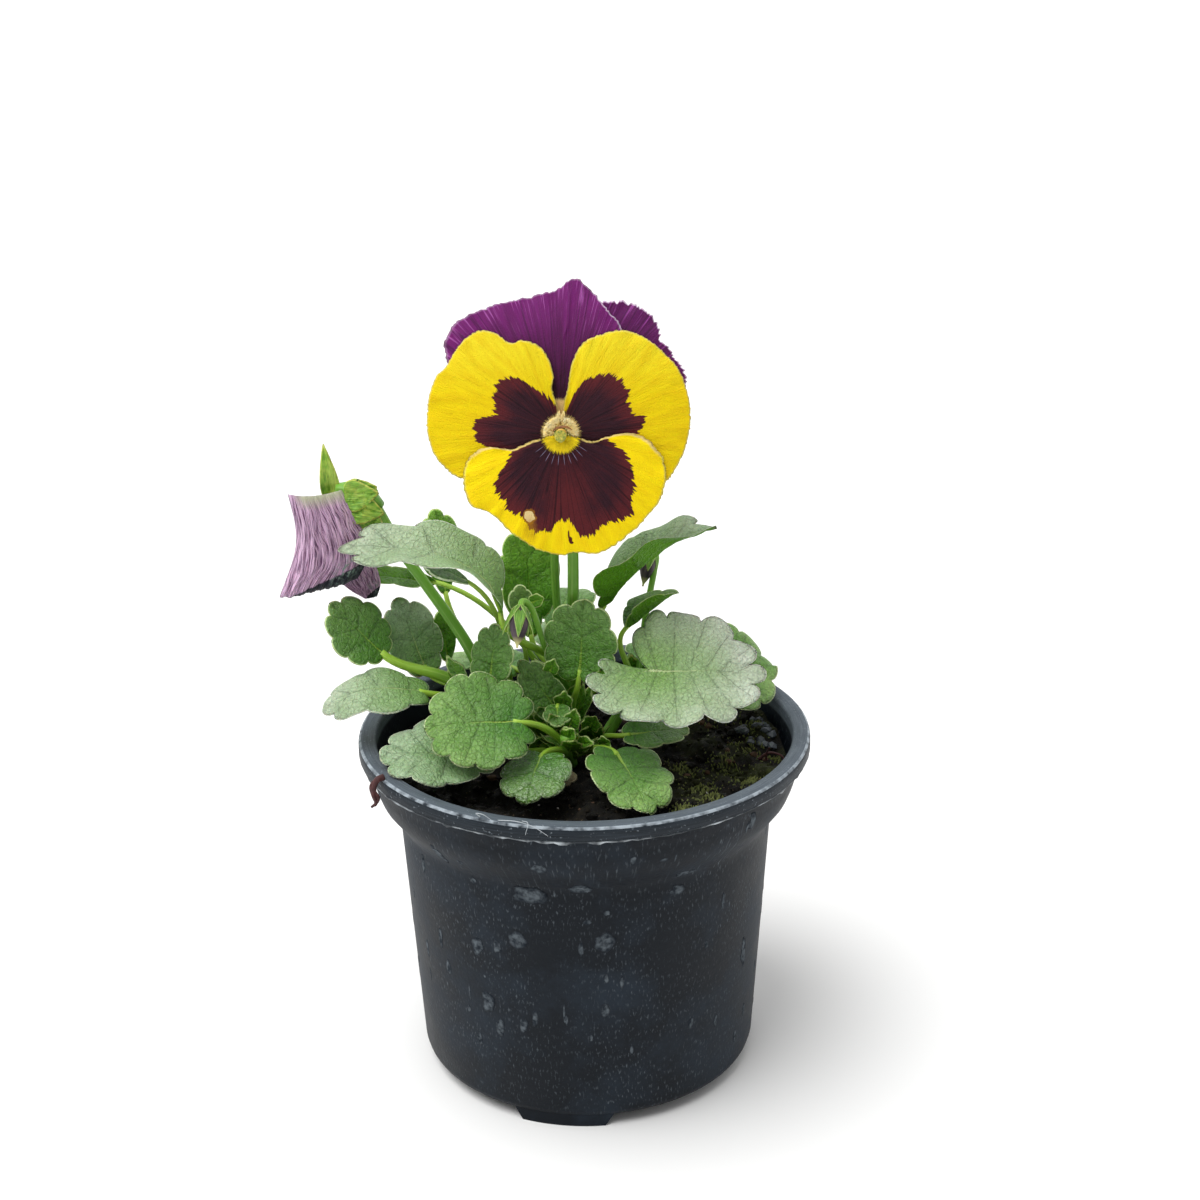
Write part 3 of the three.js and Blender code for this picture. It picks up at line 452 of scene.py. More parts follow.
def add_feet(bm):
    """Three blocks, bent to arcs under the floor's edge, with sloped ends."""
    outer = BASE_RADIUS - 0.6
    inner = outer - 6
    for foot in range(FOOT_COUNT):
        made = bmesh.ops.create_grid(bm, x_segments=1, y_segments=14, size=0.5)["verts"]
        sole = list({face for vert in made for face in vert.link_faces})
        raised = bmesh.ops.extrude_face_region(bm, geom=sole)["geom"]
        tops = {part for part in raised if isinstance(part, bmesh.types.BMVert)}
        for vert in tops | set(made):
            low = vert not in tops
            radius = mix(inner, outer, vert.co.x + 0.5)
            spread = FOOT_SPAN * (1 if low else 1.25)
            turn = FRONT_FOOT_TURN + foot * 2 * math.pi / FOOT_COUNT + vert.co.y * spread
            height = 0 if low else FOOT_DROP + 1
            vert.co = Vector((radius * math.cos(turn), radius * math.sin(turn), height)) * MM


def cut_drains(piece):
    """Cuts the drain holes with a boolean, and keeps the result as the piece's mesh."""
    bm = bmesh.new()
    ring = [(30 * math.cos(turn), 30 * math.sin(turn)) for turn in
            (FRONT_FOOT_TURN + (i + 0.5) * 2 * math.pi / DRAIN_COUNT for i in range(DRAIN_COUNT))]
    for x, y in [(0, 0), *ring]:
        place = Matrix.Translation(Vector((x, y, FOOT_DROP)) * MM)
        bmesh.ops.create_cone(bm, cap_ends=True, segments=24, radius1=DRAIN_RADIUS * MM,
                              radius2=DRAIN_RADIUS * MM, depth=4 * FLOOR_THICK * MM, matrix=place)
    mesh = bpy.data.meshes.new("drain_cutter")
    bm.to_mesh(mesh)
    bm.free()
    cutter = bpy.data.objects.new("drain_cutter", mesh)
    bpy.context.scene.collection.objects.link(cutter)
    cut = piece.modifiers.new("drains", "BOOLEAN")
    cut.operation = "DIFFERENCE"
    cut.object = cutter
    held = bpy.context.evaluated_depsgraph_get()
    result = bpy.data.meshes.new_from_object(piece.evaluated_get(held))
    piece.modifiers.remove(cut)
    piece.data = result
    bpy.data.objects.remove(cutter)
    print("pot with", DRAIN_COUNT + 1, "drain holes:", len(result.polygons), "faces")


PLASTIC = pot_plastic()


def make_pot():
    bm = new_shape()
    spin_pot(bm)
    pot = finish_piece(bm, "pot_shell", "pot_plastic", [PLASTIC], ["pot"])
    cut_drains(pot)
    bm = new_shape()
    add_feet(bm)
    finish_piece(bm, "pot_feet", "pot_plastic", [PLASTIC], ["pot"])


def make_lip_flash():
    """The ragged thread of plastic that the trimming knife leaves under the lip."""
    bm = new_shape()
    draw = random.Random(5)
    tags = [draw.random() for _ in range(FLASH_COLUMNS)]

    def place(u, v):
        turn = 2 * math.pi * u
        drop = 0.3 + 0.9 * tags[round(u * FLASH_COLUMNS) % FLASH_COLUMNS] ** 3
        out = RIM_RADIUS - 0.25 + 0.3 * math.sin(2 * math.pi * v)
        height = POT_HEIGHT - LIP_DROP + 0.1 - drop * (0.5 - 0.5 * math.cos(2 * math.pi * v))
        point = Vector((out * math.cos(turn), out * math.sin(turn), height))
        return point, (u, v), (u, v)

    bend_grid(bm, FLASH_COLUMNS, 6, place)
    skin, tree, shader = new_skin("torn_polypropylene", Roughness=0.45, IOR=1.49)
    white = spots(tree, add(tree, "TexCoord", out=3), PER_MM / 6.2, 0.45, 0.68, detail=4)
    tone = add(tree, "Mix", {0: white, 6: "#2B3238", 7: "#C4CCD2"}, out=2, data_type="RGBA")
    plug(tree, shader, Base_Color=tone)
    finish_piece(bm, "lip_trimming_flash", "pot_plastic", [skin])


make_pot()
make_lip_flash()

# %% [markdown]
# ## Dried drops and rim litter
# Hard water leaves thin grey crusts where drops dried on the wall, and litter catches on the lip. Each crust
# is a small flat grid that follows the wall: the seen ones by angle, height, width and length, the others
# drawn by chance.

# %% Dried drops
DROPS = [
    (-142, 48, 1.9, 6.4), (-152, 41, 1.5, 5), (-125, 51, 4, 5.2), (-118, 53, 2.6, 4.6), (-111, 56, 5, 5),
    (-148, 68, 2, 5), (-134, 77, 3.6, 7), (-123, 35, 4, 6.4), (-119, 28, 3.4, 5.4), (-107, 70, 10, 6),
    (-92, 73, 6.5, 2.6), (-63, 69, 4.5, 3.2), (-61, 74, 6.4, 2), (-56, 27, 2, 3.4), (-90, 63, 2.2, 1.4),
    (-43, 85, 2.6, 4.6), (-45, 60, 1.2, 4.8), (-31, 40, 3, 7.5), (-85, 57, 6, 5), (-102, 81, 4, 3),
]
MORE_DROPS = 90


def wall_radius(height):
    """The outside radius of the shell at a height, read off its outline."""
    outline = pot_profile()
    for (inner, low), (outer, high) in zip(outline, outline[1:]):
        if low <= height < high:
            return mix(inner, outer, (height - low) / (high - low))
    return RIM_RADIUS


def drop_place(degrees, height, width, tall, tag):
    """The rule that lays one ragged crust on the wall. tag picks its own piece of noise."""
    def place(u, v):
        turn = 2 * math.pi * u
        share = 1 - abs(2 * v - 1)
        ragged = share * (1 + 0.5 * noise.noise(Vector((math.cos(turn), math.sin(turn), tag)) * 1.4))
        up = height + 0.5 * tall * ragged * math.sin(turn)
        angle = math.radians(degrees) + 0.01 * width * ragged * math.cos(turn)
        out = wall_radius(up) + (0.06 if v < 0.5 else -0.2) * (1 - share ** 6)
        point = Vector((out * math.cos(angle), out * math.sin(angle), up))
        return point, (u, share), (u, share)
    return place


def make_drops():
    draw = random.Random(17)
    bm = new_shape()
    more = [(draw.uniform(0, 360), draw.uniform(12, 88), draw.uniform(0.5, 2.4), draw.uniform(1, 5))
            for _ in range(MORE_DROPS)]
    for degrees, height, width, tall in DROPS + more:
        bend_grid(bm, 18, 8, drop_place(degrees, height, width, tall, draw.uniform(0, 50)))
    skin, tree, shader = new_skin("lime_crust", Roughness=0.8, Specular_IOR_Level=0.1)
    share = add(tree, "SeparateXYZ", {0: add(tree, "UVMap", uv_map="edge")}, out=1)
    thick = spots(tree, add(tree, "TexCoord", out=3), PER_MM / 1.4, 0.36, 0.64, detail=4)
    edge = add(tree, "MapRange", {0: share, 1: 1, 2: 0.6, 3: 0.1, 4: 0.75})
    thick = add(tree, "Math", {0: thick, 1: edge}, operation="MULTIPLY")
    tone = add(tree, "Mix", {0: thick, 6: "#20262D", 7: "#666E74"}, out=2, data_type="RGBA")
    plug(tree, shader, Base_Color=tone)
    finish_piece(bm, "dried_drops", "pot_plastic", [skin])


def make_litter():
    """A withered reddish strand over the left of the lip, a curl at the right, and pale fibres in front."""
    bm = new_shape()
    strands = [
        (0, 0.8, [(-50.6, -31, 94.9), (-52.2, -32, 94.6), (-53, -33, 92), (-52, -33.6, 90.4),
                  (-53, -33, 88)]),
        (0, 0.7, [(-51.6, -32, 95), (-53.6, -32, 93), (-53, -34, 91), (-52.6, -33.6, 89),
                  (-53.8, -33, 87.6)]),
        (0, 0.4, [(46, -8, 87.4), (48.5, -8.5, 89.4), (51.5, -9, 89), (53, -10, 87.6)]),
        (0, 0.3, [(47.6, -10.4, 88), (47.8, -11.2, 91), (48.4, -12, 92.6)]),
        (1, 0.12, [(-25.4, -53.4, 94.7), (-26.2, -54.6, 96.2), (-24.6, -55.6, 96.4), (-22.6, -55.4, 94.8)]),
        (1, 0.1, [(-21, -55.4, 94.7), (-16.5, -57.6, 95.4), (-12.6, -58.8, 94.6), (-9, -60, 92.6)]),
        (1, 0.1, [(-15.2, -56, 94.7), (-13.8, -58.2, 95.2), (-14.4, -60, 93)]),
    ]
    for slot, radius, points in strands:
        add_stem(bm, line_through(points, 24), lambda t, r=radius: r * (1.1 - 0.6 * t), sides=8, slot=slot)
    dry = mineral("dried_petal_strand", "#161012", "#5C2A28", 0.7)
    pale = mineral("loose_fibre", "#8A9298", "#D4DADE", 0.6)
    finish_piece(bm, "rim_litter", "pot_plastic", [dry, pale])


def mineral(name, dark, light, rough):
    """Small dull matter such as grit, perlite, bark and dry strands: two tones in spots, slightly pitted."""
    skin, tree, shader = new_skin(name, Roughness=rough)
    here = add(tree, "TexCoord", out=3)
    spots = add(tree, "TexNoise", {"Vector": here, "Scale": PER_MM / 1.1, "Detail": 3})
    tone = add(tree, "Mix", {0: spots, 6: dark, 7: light}, out=2, data_type="RGBA")
    bump = add(tree, "Bump", {"Height": spots, "Strength": 0.5, "Distance": 0.0003})
    plug(tree, shader, Base_Color=tone, Normal=bump)
    return skin


make_drops()
make_litter()

# %% [markdown]
# ## The compost
# Peat compost is a mass of crumbs and fibres, nearly black when moist. One sheet follows the pot's inside
# and closes over the top, where noise of two sizes raises lumps and hollows. Loose crumbs, a carpet of moss
# on the damp side, a few white grains of perlite and some grit lie on it as separate small pieces.

# %% Compost
SOIL_LEVEL = 85.5
SOIL_RELIEF = 1.3
GAP = 0.3
TOP_RADIUS = SHOULDER_RADIUS - 0.9 - WALL - GAP
SPRIGS_PER_CUSHION = 110


def soil_top(x, y):
    wave = math.sin(0.21 * x + 0.9) * math.cos(0.17 * y) + 0.5 * math.sin(0.33 * y + 0.24 * x)
    return SOIL_LEVEL + 0.03 * x + SOIL_RELIEF * wave


def soil_surface(x, y):
    """The top with its lumps. They fade at the wall, where the compost was pressed down."""
    lumps = noise.noise(Vector((x, y, 7)) / 5.5) * 2.1
    crumbs = noise.fractal(Vector((x, y, 3)) / 2.6, 0.9, 2.1, 4) * 0.8
    return soil_top(x, y) + lumps + crumbs


def peat():
    """Moist peat: nearly black fibres and crumbs with a faint wet shine, and an olive bloom of algae."""
    skin, tree, shader = new_skin("moist_peat", IOR=1.4, Specular_IOR_Level=0.2)
    here = add(tree, "TexCoord", out=3)
    crumbs = add(tree, "TexNoise", {"Vector": here, "Scale": PER_MM / 2.4, "Detail": 6, "Roughness": 0.7})
    pale = add(tree, "MapRange", {0: crumbs, 1: 0.42, 2: 0.75})
    fibres = spots(tree, here, PER_MM / 0.9, 0.66, 0.72)
    side = add(tree, "SeparateXYZ", {0: here}, out=0)
    damp = add(tree, "MapRange", {0: side, 1: 0.012, 2: 0.045, 4: 0.6})
    algae = spots(tree, here, PER_MM / 10.5, 0.47, 0.66, detail=4)
    algae = add(tree, "Math", {0: damp, 1: algae}, operation="MULTIPLY")
    tone = "#0A0A09"
    for mask, colour in ((pale, "#26221A"), (fibres, "#574C3D"), (algae, "#4A5226")):
        tone = add(tree, "Mix", {0: mask, 6: tone, 7: colour}, out=2, data_type="RGBA")
    rough = add(tree, "MapRange", {0: crumbs, 1: 0.35, 2: 0.6, 3: 0.45, 4: 0.95})
    bump = add(tree, "Bump", {"Height": crumbs, "Strength": 1, "Distance": 0.0012})
    plug(tree, shader, Base_Color=tone, Roughness=rough, Normal=bump)
    return skin


def make_compost():
    """The body: up the inside of the pot and over the top, in one bent grid."""
    inset = WALL + GAP
    wall = [
        (0, FOOT_DROP + FLOOR_THICK + GAP), (BASE_RADIUS - inset - 0.2, FOOT_DROP + FLOOR_THICK + GAP),
        (NECK_RADIUS - 0.4 - inset, NECK_HEIGHT - 1.8), (NECK_RADIUS + 0.2 - inset, NECK_HEIGHT + 1.4),
        (SHOULDER_RADIUS - 2.4 - inset, NECK_HEIGHT + 7.8), (TOP_RADIUS - 0.3, SOIL_LEVEL - 3),
        (TOP_RADIUS, SOIL_LEVEL - 1),
    ]
    rings = 74
    rows = len(wall) - 1 + rings
    bm = new_shape()

    def place(u, v):
        row = round(v * rows)
        turn = 2 * math.pi * u
        if row < len(wall):
            radius, height = wall[row]
        else:
            radius = TOP_RADIUS * (rows - row) / rings
        x, y = radius * math.cos(turn), radius * math.sin(turn)
        if row >= len(wall):
            height = soil_surface(x, y)
        return Vector((x, y, height)), (u, v), (u, v)

    bend_grid(bm, 220, rows, place)
    finish_piece(bm, "peat_compost", "peat_compost", [PEAT], ["compost"])


def scatter(name, skin, count, size, seed, where, jag=0.35):
    """Small grains on the compost: where(draw) gives a point's x and y, size the least and most radius."""
    draw = random.Random(seed)
    bm = new_shape()
    for _ in range(count):
        x, y = where(draw)
        radius = mix(size[0], size[1], draw.random() ** 2)
        made = bmesh.ops.create_icosphere(bm, subdivisions=1, radius=radius * MM)["verts"]
        for vert in made:
            vert.co *= 1 + jag * (draw.random() - 0.5) * 2
        turn = Matrix.Rotation(draw.random() * 6.3, 3, (draw.random(), draw.random(), 1))
        bmesh.ops.transform(bm, matrix=turn, verts=made)
        bmesh.ops.scale(bm, vec=(1, 0.8 + 0.4 * draw.random(), 0.75), verts=made)
        rest = Vector((x, y, soil_surface(x, y) + radius * 0.3)) * MM
        bmesh.ops.translate(bm, vec=rest, verts=made)
    finish_piece(bm, name, "peat_compost", [skin])


def anywhere(draw):
    turn = 2 * math.pi * draw.random()
    radius = (TOP_RADIUS - 1.2) * math.sqrt(draw.random())
    return radius * math.cos(turn), radius * math.sin(turn)


def near(x, y, spread):
    """A rule that draws points round a place, kept inside the pot."""
    def where(draw):
        place = Vector((x + draw.gauss(0, spread), y + draw.gauss(0, spread)))
        if place.length > TOP_RADIUS - 2:
            place *= (TOP_RADIUS - 2 - 2 * draw.random()) / place.length
        return place.x, place.y
    return where


def moss_green():
    """Cushion moss: tiny pointed leaves, dark olive at their feet and bright at the tips."""
    skin, tree, shader = new_skin("cushion_moss", Roughness=0.8)
    tip = add(tree, "SeparateXYZ", {0: add(tree, "UVMap", uv_map="edge")}, out=1)
    here = add(tree, "TexCoord", out=3)
    patches = add(tree, "TexNoise", {"Vector": here, "Scale": PER_MM / 3.8, "Detail": 2})
    low = add(tree, "Mix", {0: patches, 6: "#252B14", 7: "#3E4622"}, out=2, data_type="RGBA")
    high = add(tree, "Mix", {0: patches, 6: "#5E6A2C", 7: "#989E58"}, out=2, data_type="RGBA")
    tone = add(tree, "Mix", {0: tip, 6: low, 7: high}, out=2, data_type="RGBA")
    plug(tree, shader, Base_Color=tone)
    return skin


def make_moss():
    """Some hundreds of pointed sprigs in cushions on the damp right side, and a few at the left."""
    draw = random.Random(31)
    cushions = [(44, 2, 5), (50, -6, 4), (37, -10, 5), (30, -22, 4), (46, 12, 4), (38, 20, 6), (-40, 18, 5),
                (42, -22, 4), (33, -32, 4), (26, -12, 4), (24, -36, 3), (-20, 44, 6), (20, 42, 7)]
    bm = new_shape()
    edge = bm.loops.layers.uv["edge"]
    for x, y, spread in cushions:
        for _ in range(SPRIGS_PER_CUSHION):
            at = near(x, y, spread * 0.62)(draw)
            fall = math.hypot(at[0] - x, at[1] - y) / spread
            height = (0.8 + 0.9 * draw.random()) * max(0.35, 1.1 - 0.5 * fall)
            made = bmesh.ops.create_cone(bm, segments=4, radius1=0.34 * MM, radius2=0.05 * MM,
                                         depth=height * MM)["verts"]
            for vert in made:
                for loop in vert.link_loops:
                    loop[edge].uv = (0, 1 if vert.co.z > 0 else 0)
            lean = Matrix.Rotation(draw.gauss(0, 0.5), 3, (draw.random() - 0.5, draw.random() - 0.5, 0.01))
            bmesh.ops.transform(bm, matrix=lean, verts=made)
            rest = Vector((*at, soil_surface(*at) + 0.35 * height + 0.35 * max(0, 1 - fall))) * MM
            bmesh.ops.translate(bm, vec=rest, verts=made)
    finish_piece(bm, "moss", "peat_compost", [moss_green()])


PEAT = peat()
make_compost()
scatter("peat_crumbs", PEAT, 1100, (0.35, 1.5), 11, anywhere)
scatter("perlite", mineral("expanded_perlite", "#B9B5AB", "#E8E6DF", 0.8), 26, (0.3, 0.75), 12, anywhere)
scatter("grit", mineral("river_grit", "#34393F", "#565D64", 0.6), 26, (0.8, 1.9), 13, near(47, 9, 4.5),
        jag=0.2)
scatter("bark_bits", mineral("composted_bark", "#2A1A10", "#5C4027", 0.85), 60, (0.5, 1.5), 14, anywhere)
make_moss()

# %% [markdown]
# ## Green stems
# The crown comes out of the compost and branches in leafy shoots. Stems of a pansy are square with rounded
# ribs, smooth and slightly waxy. They are darker at the foot and pale, nearly yellow, where a leaf stalk
# carries a blade in full light.

# %% Stems
SHOOT_RADIUS = 2.1
SHOOTS = [
    ([(-3, 3, 72), (-3, 3, 84), (-4, 5, 98), (-5, 6, 112)], 2.5, 1.5),
    ([(-4, 3, 80), (-12, 2, 90), (-23, 1, 100), (-33, -1, 107)], SHOOT_RADIUS, 1.8),
    ([(-2, 3, 80), (6, 4, 90), (12, 6, 100), (15, 7.5, 107)], SHOOT_RADIUS, 1.4),
    ([(-3, 1, 80), (-4, -6, 87), (-5, -12, 93), (-5, -14, 98)], SHOOT_RADIUS, 1.6),
    ([(-3, 5, 80), (-4, 14, 90), (-5, 23, 98)], SHOOT_RADIUS, 1.5),
]


def stem_skin(name, foot, top, light):
    """The waxy skin of a green stem: streaks along it, and a paler tone towards its top."""
    skin, tree, shader = new_skin(name, Roughness=0.42, Specular_IOR_Level=0.35,
                                  Subsurface_Weight=0.08, Subsurface_Scale=0.001)
    edge = add(tree, "UVMap", uv_map="edge")
    along = add(tree, "SeparateXYZ", {0: edge}, out=1)
    strip = add(tree, "Mapping", {0: edge, "Scale": (14, 1.5, 1)})
    streaks = add(tree, "TexNoise", {"Vector": strip, "Scale": 1, "Detail": 4})
    here = add(tree, "TexCoord", out=3)
    patches = add(tree, "TexNoise", {"Vector": here, "Scale": PER_MM / 11, "Detail": 3})
    tone = add(tree, "Mix", {0: along, 6: foot, 7: top}, out=2, data_type="RGBA")
    pale = add(tree, "MapRange", {0: streaks, 1: 0.5, 2: 0.72, 4: 0.45})
    tone = add(tree, "Mix", {0: pale, 6: tone, 7: light}, out=2, data_type="RGBA")
    shade = add(tree, "MapRange", {0: patches, 1: 0.3, 2: 0.7, 3: 0.78, 4: 1.12})
    tone = add(tree, "Mix", {0: 1, 6: tone, 7: shade}, out=2, data_type="RGBA", blend_type="MULTIPLY")
    bump = add(tree, "Bump", {"Height": streaks, "Strength": 0.5, "Distance": 0.0003})
    plug(tree, shader, Base_Color=tone, Normal=bump)
    return skin


STEM_SKIN = stem_skin("waxy_green_stem", "#5A9226", "#78B03C", "#B4D676")
STALK_SKIN = stem_skin("pale_leaf_stalk", "#548A14", "#A0C840", "#C6DE7A")


def make_shoots():
    bm = new_shape()
    for path, foot, top in SHOOTS:
        add_stem(bm, line_through(path, 20), lambda share, a=foot, b=top: mix(a, b, share), sides=16)
    finish_piece(bm, "crown_and_shoots_skin", "green_stem", [STEM_SKIN], ["crown_and_shoots"])


make_shoots()

# %% [markdown]
# ## Leaves
# A pansy leaf is a rounded blade with blunt teeth, a sunken midrib and side veins that run forward to the
# notches. Between the veins the skin is quilted. Each leaf below has the place where its stalk meets the
# blade, the way its midrib sets out, its size, and how it folds and bends. The flat outline comes from a
# formula, and the same formula bends it into place, so the fine blade lies on the construction model's.

# %% Leaf forms
BLADE_THICK = 0.5
PETIOLE_RADIUS = 1.05


def leaf(name, skin, root, joint, turn, length, width, lobe, fold, bend, teeth,
         skew=0, middle=None, gape=0, early=1, twist=0, heart=None, stalk=1):
    widest = (middle or (0.42 if lobe > 0 else 0.56)) * length
    return dict(name=name, skin=skin, root=Vector(root), joint=Vector(joint), turn=turn, length=length,
                width=width, lobe=lobe, fold=fold, bend=bend, teeth=teeth, skew=skew, widest=widest,
                gape=gape, early=early, twist=math.radians(twist), heart=heart or (widest, 0), stalk=stalk)


LEAVES = [
    leaf("leaf_front_round", "fresh", (-5, -12, 94), (-17, -21, 105), (-166, 8, -42),
         24, 28, lobe=0.24, fold=(0.2, 0.1), bend=-18, teeth=11),
    leaf("leaf_rim_left", "sage", (-4.5, -8, 89), (-27, -22, 96), (-174, 9, -18),
         25.5, 25, lobe=0.2, fold=(0.12, 0), bend=-8, teeth=9),
    leaf("leaf_front_small", "wet", (-5, -12, 92), (-11, -22, 96), (-104, -2, 4),
         18, 19, lobe=0.15, fold=(0.1, -0.2), bend=-32, teeth=7),
    leaf("leaf_front_right", "fresh", (-3.4, -8, 89), (8, -18, 94.5), (-72, -2, -4),
         26, 22, lobe=0.18, fold=(0.12, 0.05), bend=-20, teeth=9),
    leaf("leaf_low_right", "fresh", (4, 4, 88), (11, -6, 94), (4, 8, 12),
         17, 15, lobe=0.1, fold=(0.15, 0.1), bend=-12, teeth=7),
    leaf("leaf_right_big", "sky_reflection_white", (11, 5, 98), (17, -14, 115.3), (-4, 4, 27),
         30, 40, lobe=0.5, fold=(0.14, 0.05), bend=-14, teeth=13, skew=0.5, middle=0.2, gape=0.483,
         heart=(9, -7)),
    leaf("leaf_right_back", "fresh", (14.4, 7.2, 104), (29, 10, 105.5), (12, 5, 35),
         26, 30, lobe=0.12, fold=(0.1, -0.1), bend=-26, teeth=9),
    leaf("leaf_centre", "deep", (-3.6, 4, 96), (-1.1, -7.4, 112.3), (62, 78, 6),
         20, 21.5, lobe=0.16, fold=(0.2, 0.1), bend=10, teeth=9),
    leaf("leaf_centre_left", "deep", (-14, 1.8, 92), (-24.5, -9, 111), (70, 64, -6),
         15.5, 13, lobe=0.14, fold=(0.2, 0.1), bend=10, teeth=9),
    leaf("leaf_left_upper", "pale", (-4.6, 5.6, 108), (-21.2, -6.5, 128.4), (181, 92, -9),
         51, 22, lobe=0, fold=(0.7, 0.08), bend=-94, teeth=9, middle=0.35, early=2.7, twist=-32),
    leaf("leaf_left_back", "bright", (-20, 1.3, 97.5), (-37.2, 21.6, 124), (120, 70, 10),
         24, 15, lobe=0, fold=(0.3, 0.2), bend=15, teeth=7),
    leaf("leaf_left_under", "bright", (-4.3, 5, 97), (-39, 17, 129.5), (172, 12, 45),
         19, 14, lobe=0, fold=(0.1, 0), bend=-14, teeth=7),
    leaf("leaf_left_narrow", "sage", (-18, 1.5, 96), (-29, 3, 134), (-165, 36, -30),
         14, 7, lobe=0, fold=(0.2, 0.1), bend=-20, teeth=5),
    leaf("leaf_left_dark", "deep", (-32, -1, 106.4), (-52.5, 1.5, 114.8), (172, 44, -38),
         20, 18, lobe=0.04, fold=(0.15, 0), bend=8, teeth=9, stalk=1.6),
    leaf("leaf_left_mid", "sage", (-27, 0.2, 103), (-42.5, 9, 107.5), (135, 58, -12),
         21, 17, lobe=0.1, fold=(0.15, 0.1), bend=6, teeth=7),
    leaf("leaf_left_mid_back", "bright", (-16, 1.6, 94), (-37, 17, 106), (120, 76, 0),
         15, 9, lobe=0, fold=(0.2, 0.1), bend=5, teeth=5),
    leaf("leaf_left_low", "pale", (-22, 1, 99), (-42, -6.5, 107.4), (-164, 22, -20),
         29, 18, lobe=0.1, fold=(0.05, -0.2), bend=-99, teeth=7, early=0.5),
    leaf("leaf_right_upper", "sage", (-4.2, 4.8, 101), (5.2, 7.2, 125), (-24, 57, 12),
         41, 26, lobe=0, fold=(1, 0.35), bend=-41, teeth=7, middle=0.28, early=0.75, twist=-9),
    leaf("leaf_right_mid", "fresh", (13.6, 6.8, 102), (11, 6, 119.5), (12, 38, -14),
         17.5, 17, lobe=0, fold=(1.2, 0.5), bend=-10, teeth=5, middle=0.32),
    leaf("leaf_centre_back", "bright", (-4.6, 5.6, 104), (-14, 14, 114), (98, 74, 0),
         31, 18, lobe=0, fold=(0.3, 0.2), bend=8, teeth=9),
    leaf("leaf_upright_small", "fresh", (-12, 2, 90), (-16, 3, 122), (100, 76, 0),
         11, 7, lobe=0, fold=(0.2, 0.1), bend=0, teeth=5),
    leaf("leaf_inner_upper", "deep", (-3.2, 3, 88), (-5, -4.5, 98), (180, 55, -60),
         21, 11, lobe=0.1, fold=(0.2, 0.1), bend=5, teeth=7),
    leaf("leaf_inner_low", "deep", (-4.8, -9.5, 91), (-7, -9.5, 104.5), (-90, -20, 0),
         7, 8, lobe=0.1, fold=(0.1, 0), bend=-16, teeth=5),
    leaf("leaf_withered", "withered", (-4, -7, 88), (-6.5, -19, 91.5), (-82, -8, 0),
         8, 8, lobe=0, fold=(0.1, 0), bend=-10, teeth=5),
    leaf("leaf_rear_left", "fresh", (-4.4, 17, 93), (-20, 28, 100), (142, 8, 0),
         24, 21, lobe=0.2, fold=(0.15, 0.05), bend=-22, teeth=9),
    leaf("leaf_rear_middle", "sage", (-4.8, 21, 96), (-4, 32, 104), (94, 12, 0),
         25, 23, lobe=0.22, fold=(0.15, 0.05), bend=-30, teeth=9),
    leaf("leaf_rear_right", "fresh", (-4.2, 15, 91.5), (17, 28, 101), (42, 10, 0),
         26, 23, lobe=0.2, fold=(0.15, 0.05), bend=-28, teeth=9),
    leaf("leaf_rear_upper", "deep", (-3.7, 4.4, 93), (-6, 27, 112), (84, 30, 0),
         24, 18, lobe=0.08, fold=(0.3, 0.1), bend=-40, teeth=9),
]


def leaf_outline(form, turn):
    """The flat edge of a blade, with its teeth: turn runs once round from the tip, x along the midrib."""
    widest, length = form["widest"], form["length"]
    behind = widest + form["lobe"] * length * (1 - form["skew"] * math.sin(turn))
    ahead = length - widest if math.cos(turn) > 0 else behind
    sinus = math.exp(-((turn - math.pi + form["gape"]) / 0.2) ** 2)
    narrowing = 1 if form["lobe"] > 0 else 1 - 0.45 * max(0, -math.cos(turn)) ** 1.5
    notch = 1 - abs(math.cos(form["teeth"] * turn / 2)) ** 0.6
    scallop = 1 - 0.13 * notch * (1 - sinus)
    x = widest + ahead * math.cos(turn) * scallop
    y = 0.5 * form["width"] * math.sin(turn) * narrowing * scallop
    return x * (1 - sinus), y * (1 - sinus)


def leaf_frame(form):
    """The blade's own directions: along the midrib, across it to its left, and up out of its upper face."""
    a, p, r = [math.radians(angle) for angle in form["turn"]]
    along = Vector((math.cos(p) * math.cos(a), math.cos(p) * math.sin(a), math.sin(p)))
    level = Vector((-math.sin(a), math.cos(a), 0))
    across = level * math.cos(r) + along.cross(level) * math.sin(r)
    return along, across, along.cross(across)


def midrib_at(form, x):
    """How far the midrib has come forward and up at x, and how far it has turned there."""
    whole = math.radians(form["bend"])

    def turn_at(at):
        return whole * (1 - (1 - clamp(at / form["length"])) ** form["early"])

    steps = 12
    turns = [turn_at((i + 0.5) / steps * x) for i in range(steps)]
    forward = sum(math.cos(turn) for turn in turns) * x / steps
    raised = sum(math.sin(turn) for turn in turns) * x / steps
    return forward, raised, turn_at(x)


def leaf_point(form, frame_of, x, y, share, relief):
    """Sets a flat point of the blade in space. relief lifts it off the blade's middle surface."""
    along, across, up = frame_of
    reach = clamp(x / form["length"])
    fold = mix(form["fold"][0], form["fold"][1], reach)
    level = math.cos(math.atan(fold)) * y
    lift = math.sin(math.atan(fold)) * (math.hypot(y, 1.5) - 1.5)
    cup = 0.012 * x * x if x < 0 else 0
    wave = cup + 0.03 * form["width"] * share * share * math.sin(0.42 * x + (0.8 if y > 0 else 2.6))
    height = lift + wave + relief
    twist = form["twist"] * reach
    side = level * math.cos(twist) - height * math.sin(twist)
    rise = level * math.sin(twist) + height * math.cos(twist)
    forward, raised, turned = midrib_at(form, x)
    point = form["joint"] + along * (forward - rise * math.sin(turned)) + across * side
    return point + up * (raised + rise * math.cos(turned))


